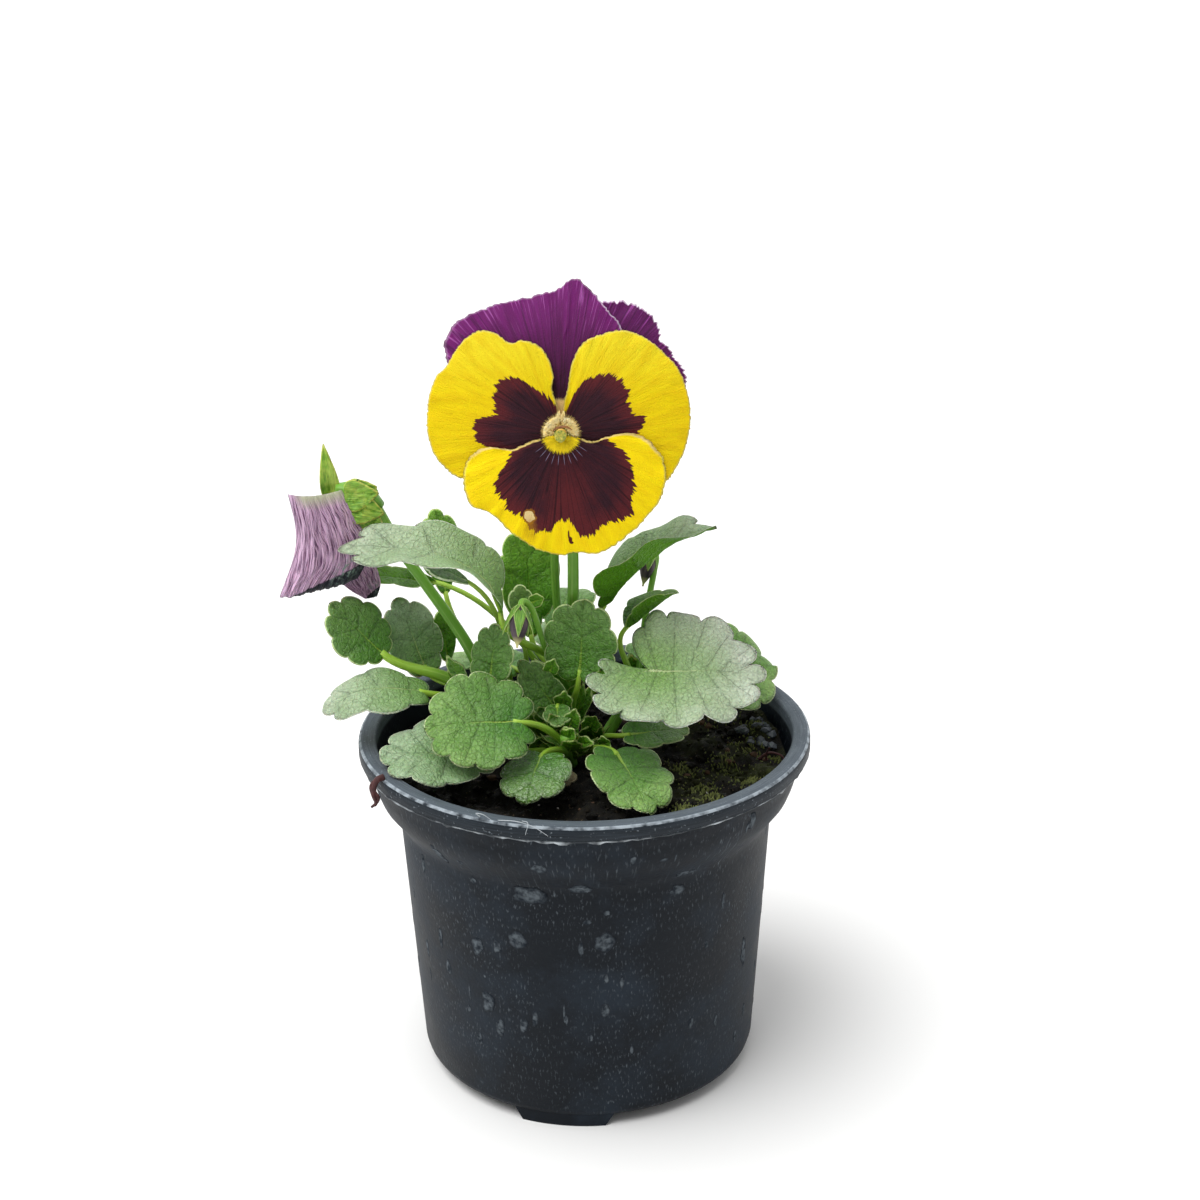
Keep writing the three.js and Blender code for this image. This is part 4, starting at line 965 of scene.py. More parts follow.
def vein_number(form, x, y):
    """Which side vein a flat point lies on: a whole number on a vein, and in between elsewhere."""
    span = 0.8 * form["length"]
    low, high = -1.5 * form["length"], 1.5 * form["length"]
    for _ in range(16):
        at = (low + high) / 2
        angle = math.radians(mix(118, 32, clamp(at / span) ** 0.75))
        if at + abs(y) / math.tan(angle) < x:
            low = at
        else:
            high = at
    return at / span * (form["teeth"] // 2) + 0.5


def add_blade(bm, form):
    """The blade as one closed grid: the upper face out to the margin, and the under face back in."""
    frame_of = leaf_frame(form)
    columns = form["teeth"] * 12
    rings = 15
    heart_x, heart_y = form["heart"]
    start = math.pi / form["teeth"]
    outline = [leaf_outline(form, start + 2 * math.pi * i / columns) for i in range(columns)]
    size = min(1, form["width"] / 20)

    def place(u, v):
        upper = v < 0.5
        share = 1 - abs(2 * v - 1)
        edge_x, edge_y = outline[round(u * columns) % columns]
        x = mix(heart_x, edge_x, share)
        y = mix(heart_y, edge_y, share)
        number = vein_number(form, x, y)
        calm = (1 - share ** 6) * clamp(abs(y) / 2)
        quilt = 0.26 * size * calm * (abs(math.sin(math.pi * number)) ** 0.7 - 0.5)
        pucker = 0.34 * noise.noise(Vector((x, y, form["length"])) / 2.4)
        pucker = size * (1 - share ** 6) * (pucker + 0.16 * noise.noise(Vector((x, y, 4)) / 1.1))
        reach = math.hypot(x, y) / form["length"]
        aside = math.copysign(math.hypot(min(x, 0), y), y)
        rib = math.exp(-(aside / 0.6) ** 2) * (1 - clamp(reach)) * (1 - share ** 4)
        droop = -0.4 * clamp((share - 0.8) / 0.2) ** 2
        inwards = (1 - share) * math.hypot(edge_x - heart_x, edge_y - heart_y)
        half = 0.5 * BLADE_THICK * math.sqrt(max(0, 1 - share ** 10))
        relief = quilt + pucker + droop + (half - 0.3 * rib if upper else -half - 0.55 * rib)
        point = leaf_point(form, frame_of, x, y, share, relief)
        return point, (number, aside / 10), (reach, inwards / 10)

    bend_grid(bm, columns, 2 * rings, place, lambda u, v: 0 if v < 0.5 else 1)


def add_petiole(bm, form):
    """The leaf stalk: a Bezier curve from the shoot to the blade, thinner towards the blade."""
    along, _, up = leaf_frame(form)
    root, joint = form["root"], form["joint"]
    span = (joint - root).length
    leave = root + Vector((0, 0, 0.14 * span)) + (joint - root) * 0.3
    back = (along + up * 2).normalized() if form["lobe"] > 0.3 else along
    arrive = joint - back * 0.32 * span
    end = joint + along * 1.2

    def curve(t):
        s = 1 - t
        return root * s ** 3 + leave * (3 * s * s * t) + arrive * (3 * s * t * t) + end * t ** 3

    thick = PETIOLE_RADIUS * form["stalk"] * min(1, 0.55 + form["length"] / 60)
    add_stem(bm, even_points(curve, 18), lambda t: thick * (1.15 - 0.45 * t), sides=12, slot=2)


# %% [markdown]
# ## The skin of a leaf
# The upper skin is waxy and finely grained. Blades that look at the viewer get deep green tones, and blades
# that face the room get pale sage tones, a painted reflection of the room on top of their real shine. The
# tone is greenest at the joint and paler outwards: painted shade round the joint and painted sheen on the
# outer blade. The midrib is a pale line that fades towards the tip, the side veins are thin sunken lines in
# shallow valleys, and a net of fine veins crosses the fields between them. The valleys, the vein lines and
# that net are darkened as painted shade. The very margin is pale. On the duller under skin the same veins
# stand out, and its bright green is partly painted light shining through the blade.

# %% Leaf skins
def vein_lines(tree, number, aside, reach, here):
    """Masks of the side veins, of the valleys they lie in, and of the midrib."""
    off = add(tree, "Math", {0: number, 1: 0.5}, operation="PINGPONG")
    wobble = add(tree, "TexNoise", {"Vector": here, "Scale": PER_MM / 3.3})
    wobble = add(tree, "MapRange", {0: wobble, 3: -0.1, 4: 0.1})
    off = add(tree, "Math", {0: off, 1: wobble}, operation="ADD")
    line = add(tree, "MapRange", {0: off, 1: 0.03, 2: 0.008}, interpolation_type="SMOOTHSTEP")
    valley_shade = add(tree, "MapRange", {0: off, 1: 0.2, 2: 0.02}, interpolation_type="SMOOTHSTEP")
    from_rib = add(tree, "Math", {0: aside}, operation="ABSOLUTE")
    width = add(tree, "MapRange", {0: reach, 1: 0, 2: 0.8, 3: 0.034, 4: 0.008})
    rib = add(tree, "Math", {0: width, 1: from_rib}, operation="SUBTRACT")
    rib = add(tree, "MapRange", {0: rib, 1: -0.008, 2: 0.01}, interpolation_type="SMOOTHSTEP")
    return line, valley_shade, rib


def leaf_skin(name, near, dark, light, midrib, margin, rough, wax, sunken=1):
    """near is the tone at the joint, wax how much of the room it mirrors. sunken=-1 raises the veins."""
    skin, tree, shader = new_skin(name, Roughness=rough, IOR=1.5, Specular_IOR_Level=wax,
                                  Subsurface_Weight=0.06, Subsurface_Scale=0.0008)
    pattern = add(tree, "SeparateXYZ", {0: add(tree, "UVMap", uv_map="skin")}, out=None)
    place = add(tree, "SeparateXYZ", {0: add(tree, "UVMap", uv_map="edge")}, out=None)
    reach, inwards = place.outputs[0], place.outputs[1]
    here = add(tree, "TexCoord", out=3)
    line, valley_shade, rib = vein_lines(tree, pattern.outputs[0], pattern.outputs[1], reach, here)
    inner = add(tree, "MapRange", {0: inwards, 1: 0.04, 2: 0.25})
    line = add(tree, "Math", {0: line, 1: inner}, operation="MULTIPLY")
    patches = spots(tree, here, PER_MM / 12, 0.34, 0.66, detail=5, rough=0.65)
    tone = add(tree, "Mix", {0: patches, 6: dark, 7: light}, out=2, data_type="RGBA")
    # Towards the joint the tone turns to near, which is painted shade round the joint. The paler outer blade
    # stands for a painted sheen.
    fresh = add(tree, "MapRange", {0: reach, 1: 0.85, 2: 0.15, 4: 0.95})
    tone = add(tree, "Mix", {0: fresh, 6: tone, 7: near}, out=2, data_type="RGBA")
    grain = add(tree, "TexNoise", {"Vector": here, "Scale": PER_MM / 0.7, "Detail": 3})
    cells = add(tree, "TexVoronoi", {"Vector": here, "Scale": PER_MM / 1.6}, feature="DISTANCE_TO_EDGE")
    net = add(tree, "MapRange", {0: cells, 1: 0.1, 2: 0.02})
    # The valleys, the fine vein net and the vein lines darken the tone as painted shade in the sunken places.
    # The grain varies it at random.
    for part, low, high, least, most in ((valley_shade, 0, 1, 1, 0.95), (grain, 0.3, 0.7, 0.78, 1.22),
                                         (net, 0, 1, 1, 0.93), (line, 0, 1, 1, 0.82)):
        shade = add(tree, "MapRange", {0: part, 1: low, 2: high, 3: least, 4: most})
        tone = add(tree, "Mix", {0: 1, 6: tone, 7: shade}, out=2, data_type="RGBA", blend_type="MULTIPLY")
    rib_part = add(tree, "MapRange", {0: reach, 1: 0.6, 2: 0.05, 4: 0.85})
    rib_part = add(tree, "Math", {0: rib_part, 1: rib}, operation="MULTIPLY")
    tone = add(tree, "Mix", {0: rib_part, 6: tone, 7: midrib}, out=2, data_type="RGBA")
    rim = add(tree, "MapRange", {0: inwards, 1: 0.042, 2: 0.024, 4: 0.95}, interpolation_type="SMOOTHSTEP")
    tone = add(tree, "Mix", {0: rim, 6: tone, 7: margin}, out=2, data_type="RGBA")
    relief = add(tree, "Math", {0: grain, 1: 1.6}, operation="MULTIPLY")
    for part, depth in ((line, 0.7), (valley_shade, 0.3), (net, 0.4), (rib, 0.6)):
        sunk = add(tree, "Math", {0: part, 1: -depth * sunken}, operation="MULTIPLY")
        relief = add(tree, "Math", {0: relief, 1: sunk}, operation="ADD")
    bump = add(tree, "Bump", {"Height": relief, "Strength": 0.9, "Distance": 0.0004})
    plug(tree, shader, Base_Color=tone, Normal=bump)
    return skin


# Tones at the joint, of the blade (dark and light), of the midrib and of the margin, roughness and wax.
UPPER_TONES = {
    # Waxy leaves mirror the white room, and their pale tones, from nearly white to soft sage, are also a
    # painted reflection of it on top of that real shine.
    "sky_reflection_white": ("#6C9938", "#98AC86", "#C0CAB6", "#C6DA98", "#F2F8E4", 0.5, 1.1),
    "pale": ("#6A9A3C", "#8BA578", "#B4C4A5", "#C2D88C", "#EEF8DC", 0.5, 1.1),
    "sage": ("#568A24", "#7A9C66", "#A6BE98", "#BDD680", "#E8F6CC", 0.5, 1),
    # Younger leaves show more of their own green. The dark tones of deep, used for leaves inside the plant,
    # are partly their own green and partly painted shade.
    "fresh": ("#3A7606", "#5B8A2C", "#8EB460", "#B2D25C", "#E4F8B4", 0.45, 0.7),
    "deep": ("#447A0E", "#4A7626", "#6E9648", "#A0C848", "#D8F0A8", 0.45, 0.6),
    "bright": ("#4C8C0A", "#548E18", "#77AC34", "#ACD050", "#D6F09A", 0.45, 0.4),
    # A wet leaf glints, and a dead one is a dull brown.
    "wet": ("#3C7608", "#416C1C", "#6B9244", "#A6CC50", "#CCE6A8", 0.16, 1.2),
    "withered": ("#4E4632", "#5F5640", "#857C5C", "#7A6A4A", "#9C9474", 0.6, 0.3),
}
UPPER_SKINS = {kind: leaf_skin("leaf_top_" + kind, *tones) for kind, tones in UPPER_TONES.items()}
# The under skin's bright, saturated green is partly painted light that shines through the blade.
UNDER_SKIN = leaf_skin("leaf_underside", "#487E08", "#4A800C", "#609512", "#94BA38", "#B5D278", 0.55, 0.25,
                       sunken=-1)


def make_leaf(form):
    bm = new_shape()
    add_blade(bm, form)
    add_petiole(bm, form)
    slot = "dry_leaf" if form["skin"] == "withered" else "leaf_green"
    finish_piece(bm, form["name"] + "_blade", slot, [UPPER_SKINS[form["skin"]], UNDER_SKIN, STALK_SKIN],
                 [form["name"]])


for form in LEAVES:
    make_leaf(form)

# %% [markdown]
# ## Stipules
# Where a leaf stalk leaves its shoot a pansy has a pair of stipules: small leafy blades with a few blunt
# lobes. They crowd the middle of the plant and hide the stalks' feet. Each is one small closed grid whose
# outline is longest at its tip, and it leans out with its own leaf.

# %% Stipules
def add_stipule(bm, base, heading, up, length, width, draw):
    along = heading.normalized()
    across = up.cross(along).normalized()
    face = along.cross(across)
    cut, curl = draw.uniform(0.12, 0.26), draw.uniform(0.5, 3)
    phase = draw.uniform(-0.5, 0.5)

    def place(u, v):
        share = 1 - abs(2 * v - 1)
        turn = 2 * math.pi * u
        lobes = 1 - cut * abs(math.sin(2.5 * turn + phase)) ** 2 * (1 - math.exp(-(turn / 0.5) ** 2))
        x = 0.5 * length * (1 + math.cos(turn) * lobes) * share + 0.3 * length * (1 - share)
        y = 0.5 * width * (1 - 0.35 * math.cos(turn)) * math.sin(turn) * lobes * share
        lift = curl * (x / length) ** 2 + 0.3 * abs(y) + 0.3 * noise.noise(Vector((x, y, base.x)) / 1.5)
        lift += 0.18 * (1 - share ** 4) * (1 if v < 0.5 else -1)
        return base + along * x + across * y + face * lift, (x / 2, y / 10), (x / length, 0.25 * (1 - share))

    bend_grid(bm, 56, 8, place, lambda u, v: 0 if v < 0.5 else 1)


# Places of the stipules that stand out in front, with heading, length and width.
FRONT_STIPULES = [
    ((-5.2, -13, 97), (0.5, -0.6, 0.6), 7, 5), ((-4, -12, 99), (0.3, -0.3, 1), 8, 5),
    ((-6.5, -11, 98), (-0.4, -0.4, 1), 8, 5), ((-3, -9, 93), (0.9, -0.5, 0.3), 8, 5),
    ((-9, -6, 112), (0.3, -0.5, 1), 7, 4.5), ((-14, 4, 128), (0.9, -0.3, 0.4), 6, 4),
    ((-6, -4, 101), (0.2, -0.5, 1), 9, 6), ((-10, -3, 97), (-0.3, -0.5, 1), 9, 6),
    ((1, -4, 95), (0.4, -0.5, 1), 9, 6), ((4, -8, 92), (0.6, -0.6, 0.6), 8, 5),
    ((-12, -8, 92), (-0.4, -0.7, 0.7), 9, 6), ((10, 1, 103), (-0.3, -0.5, 1), 8, 5),
]


def make_stipules():
    draw = random.Random(23)
    bm = new_shape()
    for form in LEAVES:
        root = form["root"]
        out = (form["joint"] - root).normalized()
        side = out.cross(Vector((0, 0, 1))).normalized()
        for way in (-1, 1):
            heading = out * 0.7 + side * (way * draw.uniform(0.4, 0.9))
            heading.z += draw.uniform(0.1, 0.7)
            start = root + side * (way * 0.8) + Vector((0, 0, draw.uniform(-1, 1)))
            length, width = draw.uniform(7, 12), draw.uniform(4.5, 7)
            add_stipule(bm, start, heading, Vector((0, 0, 1)) - out * 0.3, length, width, draw)
    for base, heading, length, width in FRONT_STIPULES:
        add_stipule(bm, Vector(base), Vector(heading), Vector((0, -1, 0.4)), length, width, draw)
    finish_piece(bm, "stipules", "leaf_green", [UPPER_SKINS["bright"], UNDER_SKIN])


make_stipules()

# %% [markdown]
# ## The open flower
# A pansy's face is five petals: two purple ones behind, a yellow one at each side, and a yellow lip in front.
# The face has a frame of its own, which leans back a little. Petal outlines are written in that frame, in
# millimetres from the eye. The face falls back to its edge like a shallow dome, and each margin is ruffled.

# %% Petal forms
FACE_MIDDLE = Vector((-4.7, -12, 178))
FACE_LEAN = math.radians(12)
FACE_RIGHT = Vector((1, 0, 0))
FACE_UP = Vector((0, math.sin(FACE_LEAN), math.cos(FACE_LEAN)))
FACE_OUT = Vector((0, -math.cos(FACE_LEAN), math.sin(FACE_LEAN)))
PETAL_THICK = 0.36


def petal(name, step, heart, ruffle, fringe, outline):
    return dict(name=name, step=step, heart=heart, ruffle=ruffle, fringe=fringe, outline=outline)


PETALS = [
    petal("petal_upper_right", -3.5, (14, 16), (0.5, 5), 0.8,
          [(1, 1.5), (1, 12), (2, 22), (8, 31), (16, 32), (22, 29.5), (24.8, 25.4), (25, 22.4),
           (27, 20.8), (28.7, 18), (31.4, 13), (26, 6), (14, 2)]),
    petal("petal_upper_left", -1.6, (-1, 20), (0.5, 6), 0.5,
          [(0, 1.5), (-10, 8), (-24, 13), (-27.5, 17), (-28.5, 22), (-26, 27), (-18, 31), (-7, 33.5),
           (0, 35.5), (3.8, 38), (8, 35), (12, 30), (15, 26), (13, 16), (5, 6)]),
    petal("petal_side_left", -0.1, (-17, 6), (0.25, 5), 0.3,
          [(-0.9, 2), (-0.7, 6), (-1.5, 9), (-2, 11.5), (-1.6, 14.5), (-4.5, 21), (-9.5, 22.9), (-12, 22.2),
           (-16, 24.8), (-20.5, 25.2), (-25.5, 21), (-28, 16.8), (-30.8, 14), (-33, 6), (-32.6, -2),
           (-30, -7), (-25, -10.8), (-14, -9), (-5, -3.4)]),
    petal("petal_side_right", -0.1, (17, 6), (0.25, 4), 0.3,
          [(0.9, 2), (0.5, 6), (1.2, 9), (1.9, 11.5), (2.6, 16), (5.5, 21.8), (10, 24), (15.5, 25),
           (20.5, 23.4), (25.5, 19.6), (29.6, 14.6), (32, 6), (31.6, -1), (29, -8), (25, -12.6), (15, -9.5),
           (5, -3.4)]),
    petal("petal_lower", 1.4, (2, -15), (0.3, 9), 0.34,
          [(0, -0.2), (-2.6, -0.4), (-5, -0.9), (-9.5, -2.4), (-12.5, -3.6), (-18, -3), (-22.5, -5.4),
           (-24.4, -11), (-22.6, -17.2), (-17.6, -19.6), (-13, -24), (-6, -28.8), (0, -30.2), (3.6, -29.6),
           (9, -29.8), (15, -26.4), (20.4, -21.6), (24.6, -16), (25.9, -10.5), (24.6, -5.4), (20, -1),
           (16, 0),
           (11.5, -0.8), (8, -1.8), (4.4, -0.9), (2.4, -0.4)]),
]


def face_point(x, y, out):
    return FACE_MIDDLE + FACE_RIGHT * x + FACE_UP * y + FACE_OUT * out


def face_dome(x, y):
    return -0.0035 * (x * x + y * y) - (0.004 * (y - 8) ** 2 if y > 8 else 0)


def petal_relief(form, x, y, share, turn):
    """Fine ripples on a petal: fluting that spreads from the eye, and small ruffles at the margin."""
    flutes = 0.09 * share ** 2 * math.sin(46 * turn + 3 * noise.noise(Vector((x, y, 1)) / 6))
    soft = 0.3 * share * noise.noise(Vector((x, y, 5)) / 7)
    ruffle = 0.45 * share ** 8 * math.sin(27 * turn + 2.2 * noise.noise(Vector((x, y, 9)) / 9))
    crease = 0
    if form["name"] == "petal_upper_left":
        off = x - 0.7 - 0.16 * (y - 20) - 0.9 * noise.noise(Vector((y, 0, 0)) / 5)
        crease = 0.35 * math.exp(-(off / 0.35) ** 2) * clamp((y - 19) / 6) * clamp((37 - y) / 4)
    return flutes + soft + ruffle + crease


def add_petal(bm, form):
    """The petal as one closed grid round its outline, out to the margin and back in behind."""
    anchors = [Vector((x, y, 0)) for x, y in form["outline"]]
    columns = 260
    rings = 30
    edge = even_points(lambda share: spline_point(anchors, share, closed=True), columns, 1200)
    heart = Vector((*form["heart"], 0))
    height, waves = form["ruffle"]

    def place(u, v):
        share = 1 - abs(2 * v - 1)
        flat = heart.lerp(edge[round(u * columns) % columns], share)
        tag = noise.noise(Vector((u * 150, form["step"], 0))) + 0.6 * noise.noise(Vector((u * 320, 3, 0)))
        ray = flat - heart
        flat = heart + ray * (1 + form["fringe"] * tag * share ** 14 / max(ray.length, 1))
        x, y = flat.x, flat.y
        turn = math.atan2(y, x)
        half = 0.5 * PETAL_THICK * math.sqrt(max(0, 1 - share ** 12))
        out = form["step"] + face_dome(x, y) + height * share ** 3 * math.sin(waves * turn)
        out += petal_relief(form, x, y, share, turn) + (half if v < 0.5 else -half)
        return face_point(x, y, out), (x / 10, y / 10), (u, share)

    bend_grid(bm, columns, 2 * rings, place, lambda u, v: 0 if v < 0.5 else 1)


# %% [markdown]
# ## The colours of the face
# Pansy petals have velvet skin: tiny cone-shaped cells that swallow light, so the dark blotches look soft.
# Each blotch is drawn by its distance from the eye, which a curve gives for every direction. Streaks of noise
# that run out from the eye feather its border, as the pigment follows the veins.

# %% Blotch outlines
SIDE_LEFT_BLOTCH = [(60, 4), (85, 5), (94.6, 6.2), (106, 9), (114.6, 11.2), (124.3, 15.6), (132.4, 18.9),
                    (140, 19.9), (147.3, 19.4), (155, 17.9), (162.5, 17.3), (168, 20.2), (173, 21.6),
                    (181, 21.3), (187.7, 19.4), (194, 17), (210, 15)]
SIDE_RIGHT_BLOTCH = [(-30, 12), (-8, 16), (0, 19.2), (5, 20.6), (10.1, 21), (14, 18.6), (20, 18.2),
                     (32.4, 19.6), (45.6, 19.5), (52, 18.2), (60.3, 15.6), (69.9, 11), (73.9, 7),
                     (80, 5), (110, 4)]
LOWER_BLOTCH = [(175, 7), (190, 9), (200, 13), (207, 15.4), (213.7, 18.8), (219, 21.3), (228, 21.7),
                (236.4, 22.8), (245.3, 23), (253, 24.6), (259.7, 24.8), (266, 22.4), (271.4, 21.2),
                (277, 23.6), (284.9, 26), (295.3, 25.2), (303, 26.2), (310.1, 26.4), (317, 24),
                (324.3, 22.2), (331, 20), (338.1, 18.4), (346, 14.6), (352.6, 11.5), (365, 8)]


# A little light soaks through a petal, which softens its shadows.
PETAL_GLOW = dict(Subsurface_Weight=0.05, Subsurface_Scale=0.0006)


def face_polar(tree, middle):
    """Distance from the eye in cm, and the direction as a share of a turn, with its seam behind the petal."""
    place = add(tree, "UVMap", uv_map="skin")
    parts = add(tree, "SeparateXYZ", {0: place}, out=None)
    radius = add(tree, "VectorMath", {0: place}, out=1, operation="LENGTH")
    turn = add(tree, "Math", {0: parts.outputs[1], 1: parts.outputs[0]}, operation="ARCTAN2")
    around = add(tree, "MapRange", {0: turn, 1: -math.pi, 2: math.pi})
    around = add(tree, "Math", {0: around, 1: 1 - middle / 360}, operation="ADD")
    around = add(tree, "Math", {0: around}, operation="FRACT")
    return parts.outputs[0], parts.outputs[1], radius, around


def streaks_at(tree, around, radius, count, stretch, detail=3):
    """Noise that is drawn out along the lines from the eye."""
    across = add(tree, "Math", {0: around, 1: count}, operation="MULTIPLY")
    along = add(tree, "Math", {0: radius, 1: stretch}, operation="MULTIPLY")
    spot = add(tree, "CombineXYZ", {0: across, 1: along})
    return add(tree, "TexNoise", {"Vector": spot, "Scale": 1, "Detail": detail})


def blotch_reach(tree, around, middle, outline):
    """How far the blotch reaches in each direction, in cm."""
    node = add(tree, "FloatCurve", {"Value": around}, out=None)
    curve = node.mapping.curves[0]
    stops = sorted((((turn - middle) / 360 + 0.5) % 1, reach / 40) for turn, reach in outline)
    curve.points[0].location = (0, stops[0][1])
    curve.points[1].location = (1, stops[-1][1])
    for stop in stops:
        curve.points.new(*stop)
    node.mapping.update()
    return add(tree, "Math", {0: node.outputs[0], 1: 4}, operation="MULTIPLY")


def petal_veins(tree, around, radius, count, stretch, strength):
    """Thin lines that run out from the eye, where the noise crosses its middle value."""
    lines = streaks_at(tree, around, radius, count, stretch, 1)
    off = add(tree, "Math", {0: lines, 1: 0.5}, operation="SUBTRACT")
    off = add(tree, "Math", {0: off}, operation="ABSOLUTE")
    return add(tree, "MapRange", {0: off, 1: 0.03, 2: 0.008, 4: strength})


def petal_bump(tree, streaks, fine, strength):
    here = add(tree, "TexCoord", out=3)
    cells = add(tree, "TexNoise", {"Vector": here, "Scale": PER_MM / 0.3, "Detail": 1})
    height = add(tree, "Math", {0: streaks, 1: 1.4}, operation="MULTIPLY")
    height = add(tree, "Math", {0: height, 1: fine}, operation="ADD")
    height = add(tree, "Math", {0: height, 1: cells}, operation="ADD")
    return add(tree, "Bump", {"Height": height, "Strength": strength, "Distance": 0.0003})


def whiskers(tree, around, radius):
    """Short lilac lines on the lip, which show an insect the way to the nectar."""
    each = add(tree, "Math", {0: around, 1: 29}, operation="MULTIPLY")
    each = add(tree, "Math", {0: each, 1: 0.5}, operation="PINGPONG")
    line = add(tree, "MapRange", {0: each, 1: 0.06, 2: 0.02})
    starts = add(tree, "MapRange", {0: radius, 1: 0.50, 2: 0.56})
    ends = add(tree, "MapRange", {0: radius, 1: 0.78, 2: 0.66})
    left = add(tree, "MapRange", {0: around, 1: 0.33, 2: 0.35})
    right = add(tree, "MapRange", {0: around, 1: 0.67, 2: 0.65})
    for part in (starts, ends, left, right):
        line = add(tree, "Math", {0: line, 1: part}, operation="MULTIPLY")
    return line


def spot_mask(tree, x, y, at, size, soft=0.5):
    """A rounded spot at a place of the face, in mm."""
    off_x = add(tree, "Math", {0: x, 1: at[0] / 10}, operation="SUBTRACT")
    off_y = add(tree, "Math", {0: y, 1: at[1] / 10}, operation="SUBTRACT")
    off_x = add(tree, "Math", {0: off_x, 1: 10 / size[0]}, operation="MULTIPLY")
    off_y = add(tree, "Math", {0: off_y, 1: 10 / size[1]}, operation="MULTIPLY")
    off = add(tree, "CombineXYZ", {0: off_x, 1: off_y})
    off = add(tree, "VectorMath", {0: off}, out=1, operation="LENGTH")
    here = add(tree, "TexCoord", out=3)
    ragged = add(tree, "TexNoise", {"Vector": here, "Scale": PER_MM / 1.1, "Detail": 3})
    off = add(tree, "Math", {0: off, 1: ragged}, operation="ADD")
    return add(tree, "MapRange", {0: off, 1: 1.5 + soft / 2, 2: 1.5 - soft / 2})


def blotch_tone(tree, place, inside, ripple, lip):
    """The velvet of a blotch: red brown near its border, nearly black further in, with darker veins."""
    x, y, radius, around = place
    inner = add(tree, "MapRange", {0: inside, 1: 0.04, 2: 0.7}, interpolation_type="SMOOTHSTEP")
    red = add(tree, "MapRange", {0: ripple, 1: 0.35, 2: 0.65, 3: -0.25, 4: 0.25})
    inner = add(tree, "Math", {0: inner, 1: red}, operation="ADD", use_clamp=True)
    coats = [(petal_veins(tree, around, radius, 90, 0.16, 0.7), "#1C0C14")]
    if lip:
        flame = spot_mask(tree, x, y, (1.6, -17.5), (5, 9), 1.4)
        inner = add(tree, "Math", {0: inner, 1: flame}, operation="SUBTRACT", use_clamp=True)
        pale = add(tree, "Math", {0: whiskers(tree, around, radius), 1: 0.75}, operation="MULTIPLY")
        coats.append((pale, "#A79FBE"))
    dark = "#5A2025"
    for mask, colour in [(inner, "#341822"), *coats]:
        dark = add(tree, "Mix", {0: mask, 6: dark, 7: colour}, out=2, data_type="RGBA")
    return dark


def lip_coats(tree, place, share, fine):
    """What only the lip has: a bright upper rim, a bruise, a scar, and dark strokes at its lower edge."""
    x, y, radius, _ = place
    rim = add(tree, "MapRange", {0: share, 1: 0.955, 2: 0.975})
    top = add(tree, "MapRange", {0: y, 1: -0.62, 2: -0.42})
    outside = add(tree, "MapRange", {0: radius, 1: 0.5, 2: 0.54})
    for part in (top, outside):
        rim = add(tree, "Math", {0: rim, 1: part}, operation="MULTIPLY")
    coats = [(rim, "#EFD27C")]
    for size, colour in (((1.7, 1.9), "#8F5A1A"), ((1.3, 1.4), "#E8CE90")):
        coats.append((spot_mask(tree, x, y, (-8.1, -20.2), size, 0.12), colour))
    scar = spot_mask(tree, x, y, (-8, -23.8), (1.5, 2.8), 1)
    scar = add(tree, "Math", {0: scar, 1: fine}, operation="MULTIPLY")
    coats.append((scar, "#B07A10"))
    for at, size in (((1.5, -24.9), (0.22, 1.1)), ((1.9, -26.3), (0.45, 0.8)), ((2.2, -27), (0.5, 0.35))):
        coats.append((spot_mask(tree, x, y, at, size, 0.3), "#5A1E14"))
    return coats


def neck_coat(tree, place):
    """The cream neck between the two side petals, above the eye."""
    x, y = place[:2]
    neck_x = add(tree, "Math", {0: x}, operation="ABSOLUTE")
    neck = add(tree, "MapRange", {0: neck_x, 1: 0.11, 2: 0.06})
    top = add(tree, "MapRange", {0: y, 1: 0.82, 2: 0.7})
    return add(tree, "Math", {0: neck, 1: top}, operation="MULTIPLY"), "#E3BC72"


